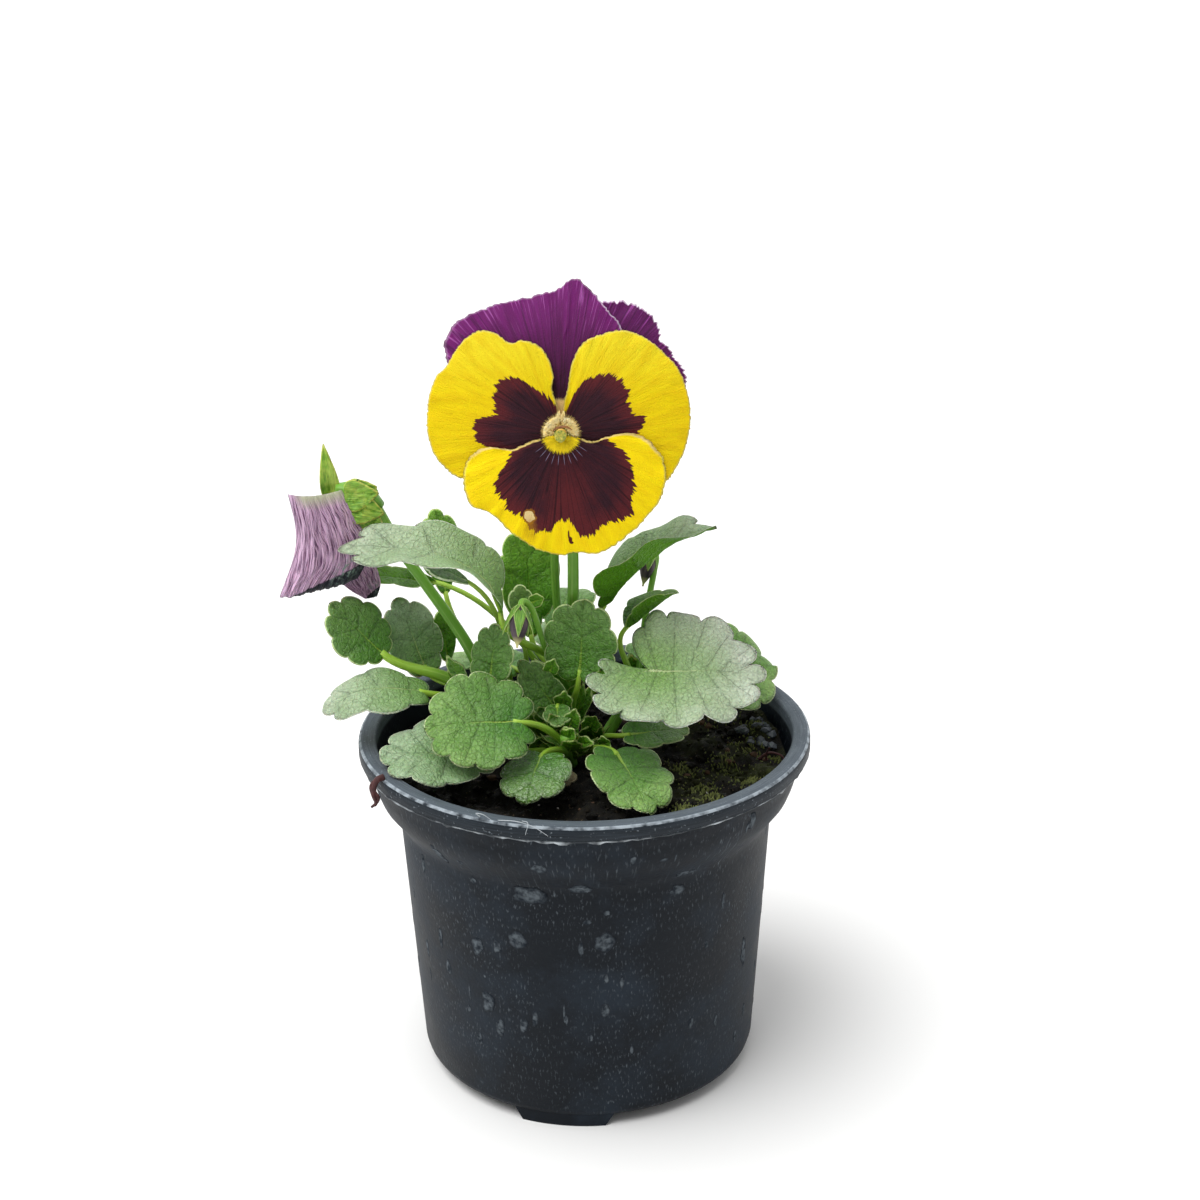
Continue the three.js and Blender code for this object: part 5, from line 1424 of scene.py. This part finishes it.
def yellow_velvet(name, middle, outline, eye, lip=False):
    """Yellow petal skin with its dark velvet blotch, and the eye's own tone at its inner end."""
    skin, tree, shader = new_skin(name, Roughness=0.65, Sheen_Weight=0.05, Sheen_Roughness=0.4,
                                  Specular_IOR_Level=0.12, **PETAL_GLOW)
    place = face_polar(tree, middle)
    _, y, radius, around = place
    broad = streaks_at(tree, around, radius, 120, 0.5)
    fine = streaks_at(tree, around, radius, 420, 1.2)
    ripple = streaks_at(tree, around, radius, 90, 1.2)
    share = add(tree, "SeparateXYZ", {0: add(tree, "UVMap", uv_map="edge")}, out=1)
    high = add(tree, "MapRange", {0: y, 1: 0.9, 2: 2.4})
    tone, deep = ("#FFE204", "#F2C604") if lip else ("#EED202", "#DCB402")
    rich = add(tree, "MapRange", {0: ripple, 1: 0.38, 2: 0.66, 4: 0.5})
    rim = add(tree, "MapRange", {0: share, 1: 0.972, 2: 0.99, 4: 0.6})
    reach = blotch_reach(tree, around, middle, outline)
    for streaks, depth in ((broad, 0.11), (fine, 0.06)):
        feather = add(tree, "MapRange", {0: streaks, 1: 0.3, 2: 0.7, 3: -depth, 4: depth})
        reach = add(tree, "Math", {0: reach, 1: feather}, operation="ADD")
    inside = add(tree, "Math", {0: reach, 1: radius}, operation="SUBTRACT")
    blotch = add(tree, "MapRange", {0: inside, 1: -0.012, 2: 0.02}, interpolation_type="SMOOTHSTEP")
    dark = blotch_tone(tree, place, inside, ripple, lip)
    eye_reach = add(tree, "MapRange", {0: fine, 1: 0.3, 2: 0.7, 3: 0.4, 4: 0.54})
    eye_mask = add(tree, "Math", {0: eye_reach, 1: radius}, operation="SUBTRACT")
    eye_mask = add(tree, "MapRange", {0: eye_mask, 1: -0.02, 2: 0.03})
    own = lip_coats(tree, place, share, fine) if lip else [neck_coat(tree, place)]
    for mask, colour in [(high, "#F0DC26"), (rich, deep), (rim, "#F4E27A"), (blotch, dark), (eye_mask, eye),
                         *own]:
        tone = add(tree, "Mix", {0: mask, 6: tone, 7: colour}, out=2, data_type="RGBA")
    plug(tree, shader, Base_Color=tone, Normal=petal_bump(tree, ripple, fine, 1))
    return skin


def purple_velvet(name, light, edge_tone):
    """Purple petal skin: dark towards the eye, streaked and lighter towards the fringed margin."""
    skin, tree, shader = new_skin(name, Roughness=0.6, Sheen_Weight=0.08, Sheen_Roughness=0.4,
                                  Specular_IOR_Level=0.15, **PETAL_GLOW)
    x, _, radius, around = face_polar(tree, 90)
    broad = streaks_at(tree, around, radius, 150, 0.5)
    fine = streaks_at(tree, around, radius, 460, 1)
    share = add(tree, "SeparateXYZ", {0: add(tree, "UVMap", uv_map="edge")}, out=1)
    far = add(tree, "MapRange", {0: radius, 1: 1.1, 2: 3.3})
    sway = add(tree, "MapRange", {0: broad, 1: 0.3, 2: 0.7, 3: -0.22, 4: 0.22})
    far = add(tree, "Math", {0: far, 1: sway}, operation="ADD", use_clamp=True)
    streak = add(tree, "MapRange", {0: fine, 1: 0.56, 2: 0.74})
    near_edge = add(tree, "MapRange", {0: share, 1: 0.35, 2: 0.95})
    streak = add(tree, "Math", {0: streak, 1: near_edge}, operation="MULTIPLY")
    rim = add(tree, "MapRange", {0: share, 1: 0.972, 2: 0.988})
    right = add(tree, "MapRange", {0: x, 1: 0.8, 2: 1, 3: 0.3, 4: 1})
    rim = add(tree, "Math", {0: rim, 1: right}, operation="MULTIPLY")
    vein = petal_veins(tree, around, radius, 110, 0.14, 0.5)
    throat_side = add(tree, "MapRange", {0: fine, 1: 0.3, 2: 0.7, 3: 0.8, 4: 0.92})
    cream = add(tree, "Math", {0: throat_side, 1: radius}, operation="SUBTRACT")
    cream = add(tree, "MapRange", {0: cream, 1: -0.02, 2: 0.06})
    tone = "#2C0E1C"
    for mask, colour in ((far, light), (streak, edge_tone), (rim, "#D9BAD9"), (vein, "#34102F"),
                         (cream, "#E8C784")):
        tone = add(tree, "Mix", {0: mask, 6: tone, 7: colour}, out=2, data_type="RGBA")
    plug(tree, shader, Base_Color=tone, Normal=petal_bump(tree, broad, fine, 0.6))
    return skin


def petal_back(name, base, streak):
    """The back of a petal: duller and paler than its face, with raised veins from the claw."""
    skin, tree, shader = new_skin(name, Roughness=0.7, Sheen_Weight=0.15)
    _, _, radius, around = face_polar(tree, 90)
    broad = streaks_at(tree, around, radius, 90, 0.5)
    lines = add(tree, "MapRange", {0: broad, 1: 0.5, 2: 0.68})
    tone = add(tree, "Mix", {0: lines, 6: base, 7: streak}, out=2, data_type="RGBA")
    bump = add(tree, "Bump", {"Height": broad, "Strength": 0.5, "Distance": 0.0003})
    plug(tree, shader, Base_Color=tone, Normal=bump)
    return skin


# The face of each petal, two tones of its back, and the slot it belongs to.
PURPLE_BACK = ("#6E4A72", "#845C88", "purple_petal")
YELLOW_BACK = ("#D9BF3A", "#C9A82A", "yellow_petal")
YELLOW_LEFT = yellow_velvet("yellow_velvet_left", 150, SIDE_LEFT_BLOTCH, "#F6D684")
YELLOW_RIGHT = yellow_velvet("yellow_velvet_right", 30, SIDE_RIGHT_BLOTCH, "#F6D684")
YELLOW_LIP = yellow_velvet("yellow_velvet_lip", 270, LOWER_BLOTCH, "#FFE01C", lip=True)
PETAL_SKINS = {
    "petal_upper_left": (purple_velvet("purple_velvet_left", "#6E1A66", "#BC66BA"), *PURPLE_BACK),
    "petal_upper_right": (purple_velvet("purple_velvet_right", "#5C1656", "#A24AA0"), *PURPLE_BACK),
    "petal_side_left": (YELLOW_LEFT, *YELLOW_BACK),
    "petal_side_right": (YELLOW_RIGHT, *YELLOW_BACK),
    "petal_lower": (YELLOW_LIP, *YELLOW_BACK),
}


def make_petal(form):
    front, base, streak, slot = PETAL_SKINS[form["name"]]
    bm = new_shape()
    add_petal(bm, form)
    back = petal_back(form["name"] + "_back", base, streak)
    finish_piece(bm, form["name"] + "_velvet", slot, [front, back], [form["name"]])


for form in PETALS:
    make_petal(form)

# %% [markdown]
# ## Beard, stigma and throat
# In the eye stands the round hollow head of the stigma, under a small brown brow. Cream hairs grow from the
# side petals over the throat and brush pollen off a visitor. The throat goes on as a short tube to the spur.

# %% Eye
BEARD_HAIRS = 700


def plant_skin(name, low, high, spot, rough=0.5):
    """Soft plant tissue in two tones that drift into each other in spots of that many mm."""
    skin, tree, shader = new_skin(name, Roughness=rough, Subsurface_Weight=0.08, Subsurface_Scale=0.0006)
    here = add(tree, "TexCoord", out=3)
    patches = add(tree, "TexNoise", {"Vector": here, "Scale": PER_MM / spot, "Detail": 4,
                                     "Roughness": 0.65})
    spread = add(tree, "MapRange", {0: patches, 1: 0.34, 2: 0.66})
    tone = add(tree, "Mix", {0: spread, 6: low, 7: high}, out=2, data_type="RGBA")
    bump = add(tree, "Bump", {"Height": patches, "Strength": 0.6, "Distance": 0.0004})
    plug(tree, shader, Base_Color=tone, Normal=bump)
    return skin


def make_throat():
    """The tube from the eye to the spur, with a rounded mouth."""
    bm = new_shape()
    line = line_through([face_point(0, 0, 2.6), face_point(0, -0.2, -1), face_point(0, -0.6, -4.6)], 12)
    add_stem(bm, line, lambda t: (1.5 - 0.5 * abs(0.4 - t)) * min(1, 0.55 + 5 * t), sides=28, ribs=0)
    skin = plant_skin("throat_tissue", "#D8A93A", "#EBCB6A", 1.4)
    finish_piece(bm, "throat_tube", "throat_cream", [skin], ["throat"])


def make_stigma():
    """A hollow green head, and the brown brow above it."""
    bm = new_shape()

    def place(u, v):
        tilt = math.pi * v
        turn = 2 * math.pi * u
        radius = 1.5 * (1 + 0.05 * math.sin(3 * turn))
        out = radius * 0.4 * math.cos(tilt)
        dent = -0.5 * math.exp(-(tilt / 0.5) ** 2)
        point = face_point(radius * math.sin(tilt) * math.cos(turn) - 0.1,
                           radius * math.sin(tilt) * math.sin(turn) - 0.4, 3 + out + dent)
        return point, (u, v), (u, v)

    bend_grid(bm, 32, 20, place)
    head = plant_skin("stigma_head", "#5E7A26", "#DCC850", 0.6, 0.6)
    finish_piece(bm, "stigma", "throat_cream", [head])
    bm = new_shape()
    brow = [(-1.9, 0.8), (-1.2, 1.5), (0, 1.75), (1.4, 1.8), (2.8, 1.1)]
    line = line_through([face_point(x, y, 3.2) for x, y in brow], 24)
    add_stem(bm, line, lambda t: 0.1 + 0.24 * math.sin(math.pi * t), sides=10, ribs=0.1)
    brown = plant_skin("brown_tissue", "#6B3A18", "#A06A2E", 0.7)
    finish_piece(bm, "stigma_brow", "throat_cream", [brown])


def make_beard():
    """Cream hairs in two tufts, which lean in over the throat and meet above it."""
    draw = random.Random(8)
    bm = new_shape()
    for _ in range(BEARD_HAIRS):
        turn = math.radians(draw.uniform(-8, 188))
        radius = 1.7 + 2.7 * math.sqrt(draw.random())
        if abs(math.degrees(turn) - 90) < 11:
            radius = min(radius + 1.6 * draw.random(), 6)
        x, y = radius * math.cos(turn), radius * math.sin(turn)
        root = face_point(x, y, 0.5 + face_dome(x, y))
        inwards = FACE_RIGHT * -math.cos(turn) + FACE_UP * -math.sin(turn)
        sway = Vector((draw.gauss(0, 0.35), draw.gauss(0, 0.35), draw.gauss(0, 0.35)))
        heading = (FACE_OUT * 1 + inwards * (0.9 * (radius - 1.2) / 3) + sway).normalized()
        length = draw.uniform(0.5, 1.1)
        tilt = heading.to_track_quat("Z", "Y").to_matrix().to_4x4()
        place = Matrix.Translation((root + heading * length / 2) * MM) @ tilt
        bmesh.ops.create_cone(bm, segments=5, radius1=0.12 * MM, radius2=0.07 * MM, depth=length * MM,
                              cap_ends=True, matrix=place)
    for face in bm.faces:
        face.smooth = True
    finish_piece(bm, "beard_hairs", "throat_cream", [plant_skin("beard_cream", "#FFE084", "#FFF6CC", 2)])


make_throat()
make_stigma()
make_beard()

# %% [markdown]
# ## Sepals and stalks
# Behind the face five lance-shaped sepals spread from the receptacle, and the spur of the lip sticks out
# between them. The stalk rises from the crown and hooks over at its top, so that the face looks forward.
# Sepals are made as closed grids on the same formula as the construction model's, with a vein and a rim.

# %% Calyx and stalks
STALKS = {
    "flower_stalk_and_calyx": (1.7, 1.25, [
        (-5, 6, 111), (-3, 1.5, 122), (-2.3, 0, 143), (-2.8, 2, 164), (-4, 4.4, 175), (-4.6, 3.4, 179.5),
        (-4.7, 0.2, 179.4), (-4.7, -3.6, 176.8)]),
    "faded_stalk_and_calyx": (1.7, 1.3, [
        (-24, 0.8, 101), (-30.5, 5, 115.5), (-42, 10.5, 132), (-48.5, 11, 142), (-51.6, 11, 149),
        (-54, 10.8, 153.5), (-57, 10.5, 155.8)]),
}


def add_sepal(bm, base, heading, up, length, width, curl=0, wrinkle=0.15, slot=0):
    along = heading.normalized()
    across = up.cross(along).normalized()
    face = along.cross(across)

    def place(u, v):
        share = 1 - abs(2 * v - 1)
        turn = 2 * math.pi * u
        x = 0.5 * length * (1 + math.cos(turn)) * share + 0.25 * length * (1 - share)
        y = width * (0.5 - 0.32 * math.cos(turn)) * math.sin(turn) * share
        lift = curl * (x / length) ** 2 + 0.12 * abs(y)
        lift += wrinkle * noise.noise(Vector((x * 1.3, y * 2.4, base.x)) / 1.6)
        rib = 0.22 * math.exp(-(y / 0.35) ** 2) * share
        half = 0.24 * math.sqrt(max(0, 1 - share ** 8))
        lift += half - rib if v < 0.5 else -half - rib
        return base + along * x + across * y + face * lift, (x / 10, y / 10), (u, share)

    bend_grid(bm, 36, 16, place, lambda u, v: slot)


def sepal_skin(name, low, high, rim):
    """Thin green leaf tissue with veins along it and a clear pale margin."""
    skin, tree, shader = new_skin(name, Roughness=0.45, Subsurface_Weight=0.1, Subsurface_Scale=0.0006)
    pattern = add(tree, "UVMap", uv_map="skin")
    share = add(tree, "SeparateXYZ", {0: add(tree, "UVMap", uv_map="edge")}, out=1)
    strips = add(tree, "Mapping", {0: pattern, "Scale": (3, 34, 1)})
    lines = add(tree, "TexNoise", {"Vector": strips, "Scale": 1, "Detail": 3})
    spread = add(tree, "MapRange", {0: lines, 1: 0.38, 2: 0.62})
    patches = spots(tree, add(tree, "TexCoord", out=3), PER_MM / 4.2, 0.5, 0.7, 0.5, detail=3)
    edge = add(tree, "MapRange", {0: share, 1: 0.9, 2: 0.97, 4: 0.8})
    tone = low
    for mask, colour in ((spread, high), (patches, rim), (edge, rim)):
        tone = add(tree, "Mix", {0: mask, 6: tone, 7: colour}, out=2, data_type="RGBA")
    bump = add(tree, "Bump", {"Height": lines, "Strength": 0.8, "Distance": 0.0004})
    plug(tree, shader, Base_Color=tone, Normal=bump)
    return skin


SEPAL_SKIN = sepal_skin("fresh_sepal", "#4A8016", "#7CAE3A", "#C2D884")
WRINKLED_SEPAL = sepal_skin("wrinkled_sepal", "#5A9018", "#94C03C", "#D8DC6A")


def make_flower_stalk():
    foot, top, path = STALKS["flower_stalk_and_calyx"]
    bm = new_shape()
    add_stem(bm, line_through(path, 90), lambda t: mix(foot, top, t), sides=24)
    cup = line_through([face_point(0, -0.4, -4.9), face_point(0, -0.2, -7), face_point(0, 0.6, -9.4)], 12)
    add_stem(bm, cup, lambda t: 3 - 0.2 * t - 1.1 * t * t, sides=24)
    spur = line_through([face_point(0, -2, -8), face_point(0, -3.6, -11.5), face_point(0, -3, -15)], 12)
    add_stem(bm, spur, lambda t: 1.5 - 0.6 * t * t, sides=20, ribs=0.02)
    for degrees in (90, 22, 158, -50, -130):
        turn = math.radians(degrees)
        ray = FACE_RIGHT * math.cos(turn) + FACE_UP * math.sin(turn)
        add_sepal(bm, face_point(0, 0, -7) + ray * 1.6, ray - FACE_OUT * 0.3, FACE_OUT, 14, 4.4, -2, slot=1)
    finish_piece(bm, "flower_stalk", "green_stem", [STEM_SKIN, SEPAL_SKIN], ["flower_stalk_and_calyx"])


def make_faded_stalk():
    """The stalk of the faded flower and its calyx, whose sepals are crumpled over the receptacle."""
    foot, top, path = STALKS["faded_stalk_and_calyx"]
    bm = new_shape()
    add_stem(bm, line_through(path, 80), lambda t: mix(foot, top, t), sides=24)
    cup = line_through([(-52.5, 10.8, 152.5), (-57.5, 10.5, 156.2), (-64, 10.4, 157.8)], 12)
    add_stem(bm, cup, lambda t: 1.8 + 1.5 * math.sin(math.pi * t), sides=24)
    blades = [
        ((-64.6, 10.4, 153.6), (-0.12, 0, 1), 16.4, 4.6), ((-61.5, 7.8, 156.8), (0.95, -0.2, 0.12), 9, 7.4),
        ((-60, 7.4, 154.4), (0.95, -0.2, -0.2), 9, 7.4), ((-61, 7.6, 155), (0.75, -0.3, -0.75), 7.6, 7),
        ((-58, 8, 152.6), (0.8, -0.3, -0.4), 7, 6.4), ((-57, 12, 155.3), (0.6, 0.8, 0.15), 7, 6),
        ((-60.6, 9.6, 157.2), (0.95, -0.1, 0.2), 7.6, 6),
    ]
    for i, (base, heading, length, width) in enumerate(blades):
        add_sepal(bm, Vector(base), Vector(heading), Vector((0, -1, 0.2)), length, width, -1.5,
                  wrinkle=0.3 if i == 0 else 0.8, slot=1)
    finish_piece(bm, "faded_stalk", "green_stem", [STEM_SKIN, WRINKLED_SEPAL], ["faded_stalk_and_calyx"])


make_flower_stalk()
make_faded_stalk()

# %% [markdown]
# ## The faded flower
# A spent pansy hangs limp: its petals fold over each other like a closed skirt, crease along their veins, and
# turn from purple to a dry mauve. Each fold is a sheet between a left and a right line that swells forward.
# Pleats of two widths run down it. The hem curls under and is painted nearly black, painted shade inside the
# curl, and a little grey mould sits above it.

# %% Faded petals
FADED = [
    ("faded_petal_front", 5.5,
     [(-76, 8, 157.6), (-74.5, 7, 149), (-75, 7, 142.5), (-80, 6, 129.5)],
     [(-62, 8, 158.6), (-58, 7, 150.5), (-55, 7, 143), (-59, 6, 134.5)]),
    ("faded_petal_back", -5,
     [(-74.5, 10.4, 154.5), (-73, 10.6, 147.5), (-74, 11, 140.5), (-76.5, 11, 131.5)],
     [(-61.5, 10.4, 156.5), (-58.5, 11, 149.5), (-55.5, 11, 143), (-58, 11, 137)]),
    ("faded_petal_lower", 1,
     [(-66.5, 8.2, 141.5), (-66.5, 8.2, 138.5), (-63, 8, 132.4), (-57.4, 7.8, 128.4)],
     [(-56.5, 8.2, 142.5), (-54.6, 8.2, 138.5), (-53.2, 8, 133), (-54.4, 7.8, 128.8)]),
]


def add_faded(bm, swell, left, right):
    """One fold, front and back in one closed grid: u runs across the front and back again behind."""
    down = 64
    half_columns = 100
    lines = [line_through(left, down), line_through(right, down)]

    def place(u, v):
        front = u < 0.5
        across = clamp(1 - abs(2 * u - 1))
        row = round(v * down)
        point = lines[0][row].lerp(lines[1][row], across)
        hump = 4 * across * (1 - across)
        point.y -= swell * hump * (0.35 + 0.65 * math.sin(math.pi * (0.15 + 0.75 * v)))
        point.y -= 0.12 * swell * math.sin(9.5 * across) * v
        calm = min(1, 6 * hump) * min(1, 5 * v + 0.2)
        sway = 0.8 * noise.noise(Vector((across * 3, v * 2.5, swell)))
        point.y -= 0.42 * calm * math.sin(2 * math.pi * (8 * across + sway))
        point.y -= 0.2 * calm * math.sin(2 * math.pi * (23 * across + 2.4 * sway + v))
        point.y -= 0.38 * calm * noise.noise(Vector((across * 26 - 10 * across * v, v * 3, swell)))
        hem = clamp((v - 0.94) / 0.06)
        point.y += 1.2 * hem * hem * (1 if swell > 0 else -1)
        ends = min(1, 14 * v * (1 - v))
        half = 0.22 * math.sqrt(clamp(hump * 3)) * math.sqrt(ends)
        point.y += -half if front else half
        return point, (across, v), (across, v)

    bend_grid(bm, 2 * half_columns, down, place)


def limp_petal():
    """Dry crumpled petal tissue: mauve, with dark streaks that are partly its own striations and partly
    painted shade in the creases, a hem painted nearly black as painted shade where it curls under, and grey
    mould near the hem.
    """
    skin, tree, shader = new_skin("limp_mauve_petal", Roughness=0.7, Sheen_Weight=0.1, Sheen_Roughness=0.5,
                                  Specular_IOR_Level=0.2, **PETAL_GLOW)
    pattern = add(tree, "UVMap", uv_map="skin")
    down = add(tree, "SeparateXYZ", {0: pattern}, out=1)
    sway = add(tree, "TexNoise", {"Vector": pattern, "Scale": 2.5, "Detail": 2}, out=1)
    swayed = add(tree, "Mix", {0: 0.16, 4: pattern, 5: sway}, out=1, data_type="VECTOR")
    strip = add(tree, "Mapping", {0: swayed, "Scale": (92, 5.5, 1), "Rotation": (0, 0, 0.12)})
    lines = add(tree, "TexNoise", {"Vector": strip, "Scale": 1, "Detail": 3})
    # The dark streaks are partly the tissue's own striations and partly painted shade in the creases.
    streak_and_crease_shade = add(tree, "MapRange", {0: lines, 1: 0.52, 2: 0.37})
    thin = add(tree, "Math", {0: lines, 1: 0.5}, operation="SUBTRACT")
    thin = add(tree, "Math", {0: thin}, operation="ABSOLUTE")
    thin = add(tree, "MapRange", {0: thin, 1: 0.016, 2: 0.004, 4: 0.7})
    aside = add(tree, "SeparateXYZ", {0: pattern}, out=0)
    # The hem is painted nearly black, painted shade inside its curl, reaching higher towards the right.
    hem_shade_slant = add(tree, "MapRange", {0: aside, 1: 0.1, 2: 0.9, 3: -0.02, 4: 0.2})
    hem = add(tree, "Math", {0: down, 1: hem_shade_slant}, operation="ADD")
    hem = add(tree, "MapRange", {0: hem, 1: 0.965, 2: 0.99}, interpolation_type="SMOOTHSTEP")
    top = add(tree, "MapRange", {0: down, 1: 0.13, 2: 0.02, 4: 0.9})
    right = add(tree, "MapRange", {0: aside, 1: 0.1, 2: 0.3})
    top = add(tree, "Math", {0: top, 1: right}, operation="MULTIPLY")
    mould_spot = add(tree, "VectorMath", {0: pattern, 1: (0.78, 0.78, 0)}, out=1, operation="DISTANCE")
    mould = add(tree, "MapRange", {0: mould_spot, 1: 0.24, 2: 0.05})
    fluff = spots(tree, add(tree, "TexCoord", out=3), PER_MM / 1.2, 0.48, 0.6, detail=4)
    mould = add(tree, "Math", {0: mould, 1: fluff}, operation="MULTIPLY")
    tone = "#D8B4D1"
    for mask, colour in ((streak_and_crease_shade, "#5E3B5B"), (thin, "#573456"), (hem, "#20232C"), (top, "#BCC0A0"),
                         (mould, "#7F948A")):
        tone = add(tree, "Mix", {0: mask, 6: tone, 7: colour}, out=2, data_type="RGBA")
    bump = add(tree, "Bump", {"Height": lines, "Strength": 1, "Distance": 0.0006})
    plug(tree, shader, Base_Color=tone, Normal=bump)
    return skin


LIMP = limp_petal()
for name, swell, left, right in FADED:
    bm = new_shape()
    add_faded(bm, swell, left, right)
    finish_piece(bm, name + "_folds", "faded_petal", [LIMP], [name])

# %% [markdown]
# ## Buds
# A bud nods on a thin stalk. Its rolled petals show as a dark ribbed cone between the sepals, with a pale
# yellow tip. The sepals curl back at their ends.

# %% Buds
BUDS = [
    ("bud_front", (-17, -11.5, 121.5), 2.6, 0.8, 9,
     [(-4.2, 4.8, 103), (-9.5, -1, 116), (-13.5, -4, 130), (-15.5, -6.5, 132.4), (-16, -8.4, 131)]),
    ("bud_right", (16.4, 20, 126.5), 2.2, 0.9, 6.5,
     [(14.7, 7.3, 106), (17, 15, 120), (19.5, 20, 131), (20, 20.5, 135), (18.6, 20.5, 136.6)]),
    ("bud_rear", (-7, 21, 156), 3, 1.2, 10,
     [(-3.9, 4.8, 97), (-4, 11, 107), (-6.4, 12.5, 120), (-7.2, 12, 132), (-7, 11, 150), (-7, 12, 162),
      (-7, 14.5, 164)]),
]


def bud_petals():
    """Petals rolled up tight: dark purple stripes along the bud, pale yellow where they end."""
    skin, tree, shader = new_skin("rolled_bud_petals", Roughness=0.55, Sheen_Weight=0.2)
    edge = add(tree, "UVMap", uv_map="edge")
    along = add(tree, "SeparateXYZ", {0: edge}, out=1)
    strip = add(tree, "Mapping", {0: edge, "Scale": (9, 2, 1)})
    lines = add(tree, "TexNoise", {"Vector": strip, "Scale": 1, "Detail": 3})
    spread = add(tree, "MapRange", {0: lines, 1: 0.4, 2: 0.6})
    tone = add(tree, "Mix", {0: spread, 6: "#2B1C2C", 7: "#5A4A52"}, out=2, data_type="RGBA")
    tip = add(tree, "MapRange", {0: along, 1: 0.72, 2: 0.9})
    tone = add(tree, "Mix", {0: tip, 6: tone, 7: "#E2DC96"}, out=2, data_type="RGBA")
    bump = add(tree, "Bump", {"Height": lines, "Strength": 0.7, "Distance": 0.0004})
    plug(tree, shader, Base_Color=tone, Normal=bump)
    return skin


def make_bud(name, tip, fat, stem, sepal, stalk, skins):
    bm = new_shape()
    add_stem(bm, line_through(stalk, 60), lambda t: stem, sides=14)
    top, point = Vector(stalk[-1]), Vector(tip)
    droop = (point - top).normalized()
    body = [(top - droop * 0.8).lerp(point, i / 24) for i in range(25)]
    swell = [max(0.25, fat * math.sin(math.pi * min(0.96, 0.12 + 0.9 * i / 24))) for i in range(25)]
    add_stem(bm, body, lambda t: swell[round(t * 24)], sides=30, slot=2, ribs=0.08)
    side = droop.cross(Vector((0.3, 1, 0.1))).normalized()
    for i in range(5):
        ray = Matrix.Rotation(2 * math.pi * i / 5, 3, droop) @ side
        add_sepal(bm, top - droop * 1.2, droop + ray * 0.9, ray, sepal, 2.8, -2.2, slot=1)
    finish_piece(bm, name + "_rolled", "green_stem", skins, [name])


BUD_SKIN = bud_petals()
for name, tip, fat, stem, sepal, stalk in BUDS:
    make_bud(name, tip, fat, stem, sepal, stalk, [STEM_SKIN, SEPAL_SKIN, BUD_SKIN])
